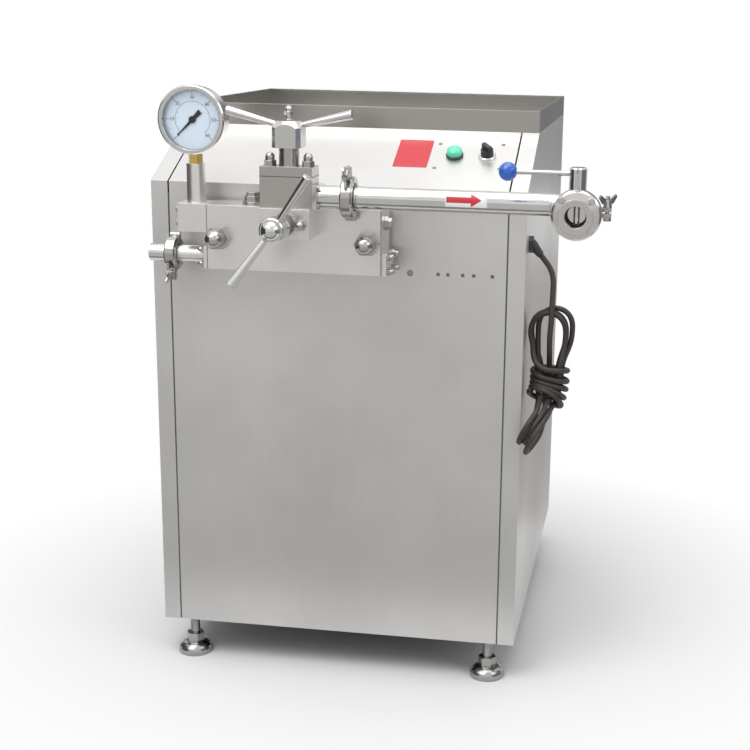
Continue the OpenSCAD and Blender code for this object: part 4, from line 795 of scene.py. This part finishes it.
# Studio: flat cards by corner, two edges and colour; lamps by place, aim, size and power
CARDS = {
    "near_card": ((-1.4, -0.95, 0.004), (3.0, 0, 0), (0, 0.43, 0), (0.30, 0.289, 0.275)),
    "rear_card": ((0.3, 0.55, 0.004), (2.1, 0, 0), (0, 3.95, 0), (0.40, 0.385, 0.365)),
    "left_card": ((-1.7, -2.0, 0.02), (0, 2.9, 0), (0, 0, 1.43), (0.07, 0.07, 0.07)),
    "right_card": ((1.9, -2.0, 0.02), (0, 2.9, 0), (0, 0, 1.43), (0.20, 0.20, 0.20)),
    "back_card": ((-2.4, 2.3, 0.55), (4.8, 0, 0), (0, 0, 1.2), (0.24, 0.24, 0.25)),
}
FRONT_CARD_GREY = (0.66, 0.646, 0.628)
FLOOR = ((-9, -9, -0.0004), (18, 0, 0), (0, 18, 0))
FLOOR_GREY, SHADOW_REACH, WHITE_FROM = (0.84, 0.84, 0.84), 0.38, 1.0
SURROUND_LIGHT, SURROUND_WHITE = 0.5, 1.0
LAMPS = {
    "key_lamp": ((-1.2, -1.95, 3.5), (0, -0.2, 0.6), (2.2, 2.2), 52),
    "top_lamp": ((0.1, -0.3, 3.4), (0, -0.1, 0.6), (2.6, 2.6), 46),
    "fill_lamp": ((2.8, -1.4, 1.9), (0.2, -0.1, 0.6), (1.8, 2.2), 20),
}


def soft_lamp(name, place, aim, size, watts):
    """A large square lamp that points at the machine."""
    data = bpy.data.lights.new(name, "AREA")
    data.shape, data.size, data.size_y, data.energy = "RECTANGLE", size[0], size[1], watts
    lamp = new_object(name, data)
    lamp.location = place
    lamp.rotation_mode = "QUATERNION"
    lamp.rotation_quaternion = (Vector(aim) - Vector(place)).to_track_quat("-Z", "Y")


def stage_sheet(name, grid, material, gloss_only=True):
    """A plain sheet of the studio from a grid of points; gloss_only keeps it to reflections."""
    sheet = new_object(name, new_mesh(name, grid, grid_faces(*grid.shape[:2]), material))
    if gloss_only:
        sheet.visible_camera = sheet.visible_diffuse = sheet.visible_shadow = False
        sheet.visible_transmission = sheet.visible_volume_scatter = False


def flat_grid(corner, edge, other_edge):
    """A flat sheet: corner + s edge + t other edge for s and t from 0 to 1."""
    s, t = (a[..., None] for a in np.meshgrid(np.linspace(0, 1, 5), np.linspace(0, 1, 5)))
    return np.array(corner) + s * np.array(edge) + t * np.array(other_edge)


def front_sweep():
    """A sheet that runs from the machine's foot to the front and rises there into an upright."""
    across = np.linspace(-3.2, 3.2, 9)[None, :]
    t = np.linspace(0, 1, 25)[:, None]
    y = -0.95 - 3.4 * np.minimum(t / 0.7, 1)
    z = 0.02 + 1.05 * np.maximum(t - 0.6, 0) / 0.4
    return np.stack(np.broadcast_arrays(across, y, z), -1)


def card(name, colour):
    """A grey card that metal sees: an even glow of its own colour."""
    f = Finish(name + "_grey", (0, 0, 0), 1.0)
    f.show(f.node("ShaderNodeEmission", Color=(*colour, 1), Strength=1.0).outputs[0])
    return f.material


def seen_rays(tree):
    """1 for rays of the lens, of reflections and through glass, 0 for the light that falls on things."""
    path = tree.nodes.new("ShaderNodeLightPath")
    total = path.outputs["Is Camera Ray"]
    for other in ("Is Glossy Ray", "Is Transmission Ray"):
        larger = tree.nodes.new("ShaderNodeMath")
        larger.operation = "MAXIMUM"
        tree.links.new(total, larger.inputs[0])
        tree.links.new(path.outputs[other], larger.inputs[1])
        total = larger.outputs[0]
    return total


def white_floor():
    """Pale floor that keeps the shadow near the machine and runs out into white further off."""
    f = Finish("pale_floor", FLOOR_GREY, 0.9)
    f.set("Specular IOR Level", 0.0)
    length = f.node("ShaderNodeVectorMath", operation="LENGTH")
    f.link(f.place((1, 1, 0)), length.inputs[0])
    far = f.spread(length.outputs["Value"], SHADOW_REACH, WHITE_FROM)
    glow = f.node("ShaderNodeEmission", Color=(1, 1, 1, 1), Strength=1.0)
    mix = f.node("ShaderNodeMixShader")
    f.link(f.math("MULTIPLY", far, seen_rays(f.tree)), mix.inputs[0])
    f.link(f.shader.outputs[0], mix.inputs[1])
    f.link(glow.outputs[0], mix.inputs[2])
    f.show(mix.outputs[0])
    return f.material


def white_surroundings():
    """A world that is white to the lens and in reflections, and half as strong in the light that it gives."""
    world = bpy.data.worlds.new("studio")
    bpy.context.scene.world = world
    world.use_nodes = True
    tree = world.node_tree
    back = tree.nodes["Background"]
    back.inputs["Color"].default_value = (1, 1, 1, 1)
    level = tree.nodes.new("ShaderNodeMapRange")
    level.inputs["To Min"].default_value = SURROUND_LIGHT
    level.inputs["To Max"].default_value = SURROUND_WHITE
    tree.links.new(seen_rays(tree), level.inputs["Value"])
    tree.links.new(level.outputs["Result"], back.inputs["Strength"])


def make_studio():
    """Pale floor, white surroundings for the lens and for reflections, grey cards, soft lamps."""
    bpy.context.scene.view_settings.view_transform = "Standard"
    white_surroundings()
    stage_sheet("floor", flat_grid(*FLOOR), white_floor(), gloss_only=False)
    stage_sheet("front_card", front_sweep(), card("front_card", FRONT_CARD_GREY))
    for name, (*sides, grey) in CARDS.items():
        stage_sheet(name, flat_grid(*sides), card(name, grey))
    for name, settings in LAMPS.items():
        soft_lamp(name, *settings)


set_camera()
make_cord()
finish_nodes()
make_stem_threads()
make_dial()
make_flow_arrow()
make_console_plate()
make_screws()
make_panel_plugs()
make_welds()
make_gaskets()
make_studio()
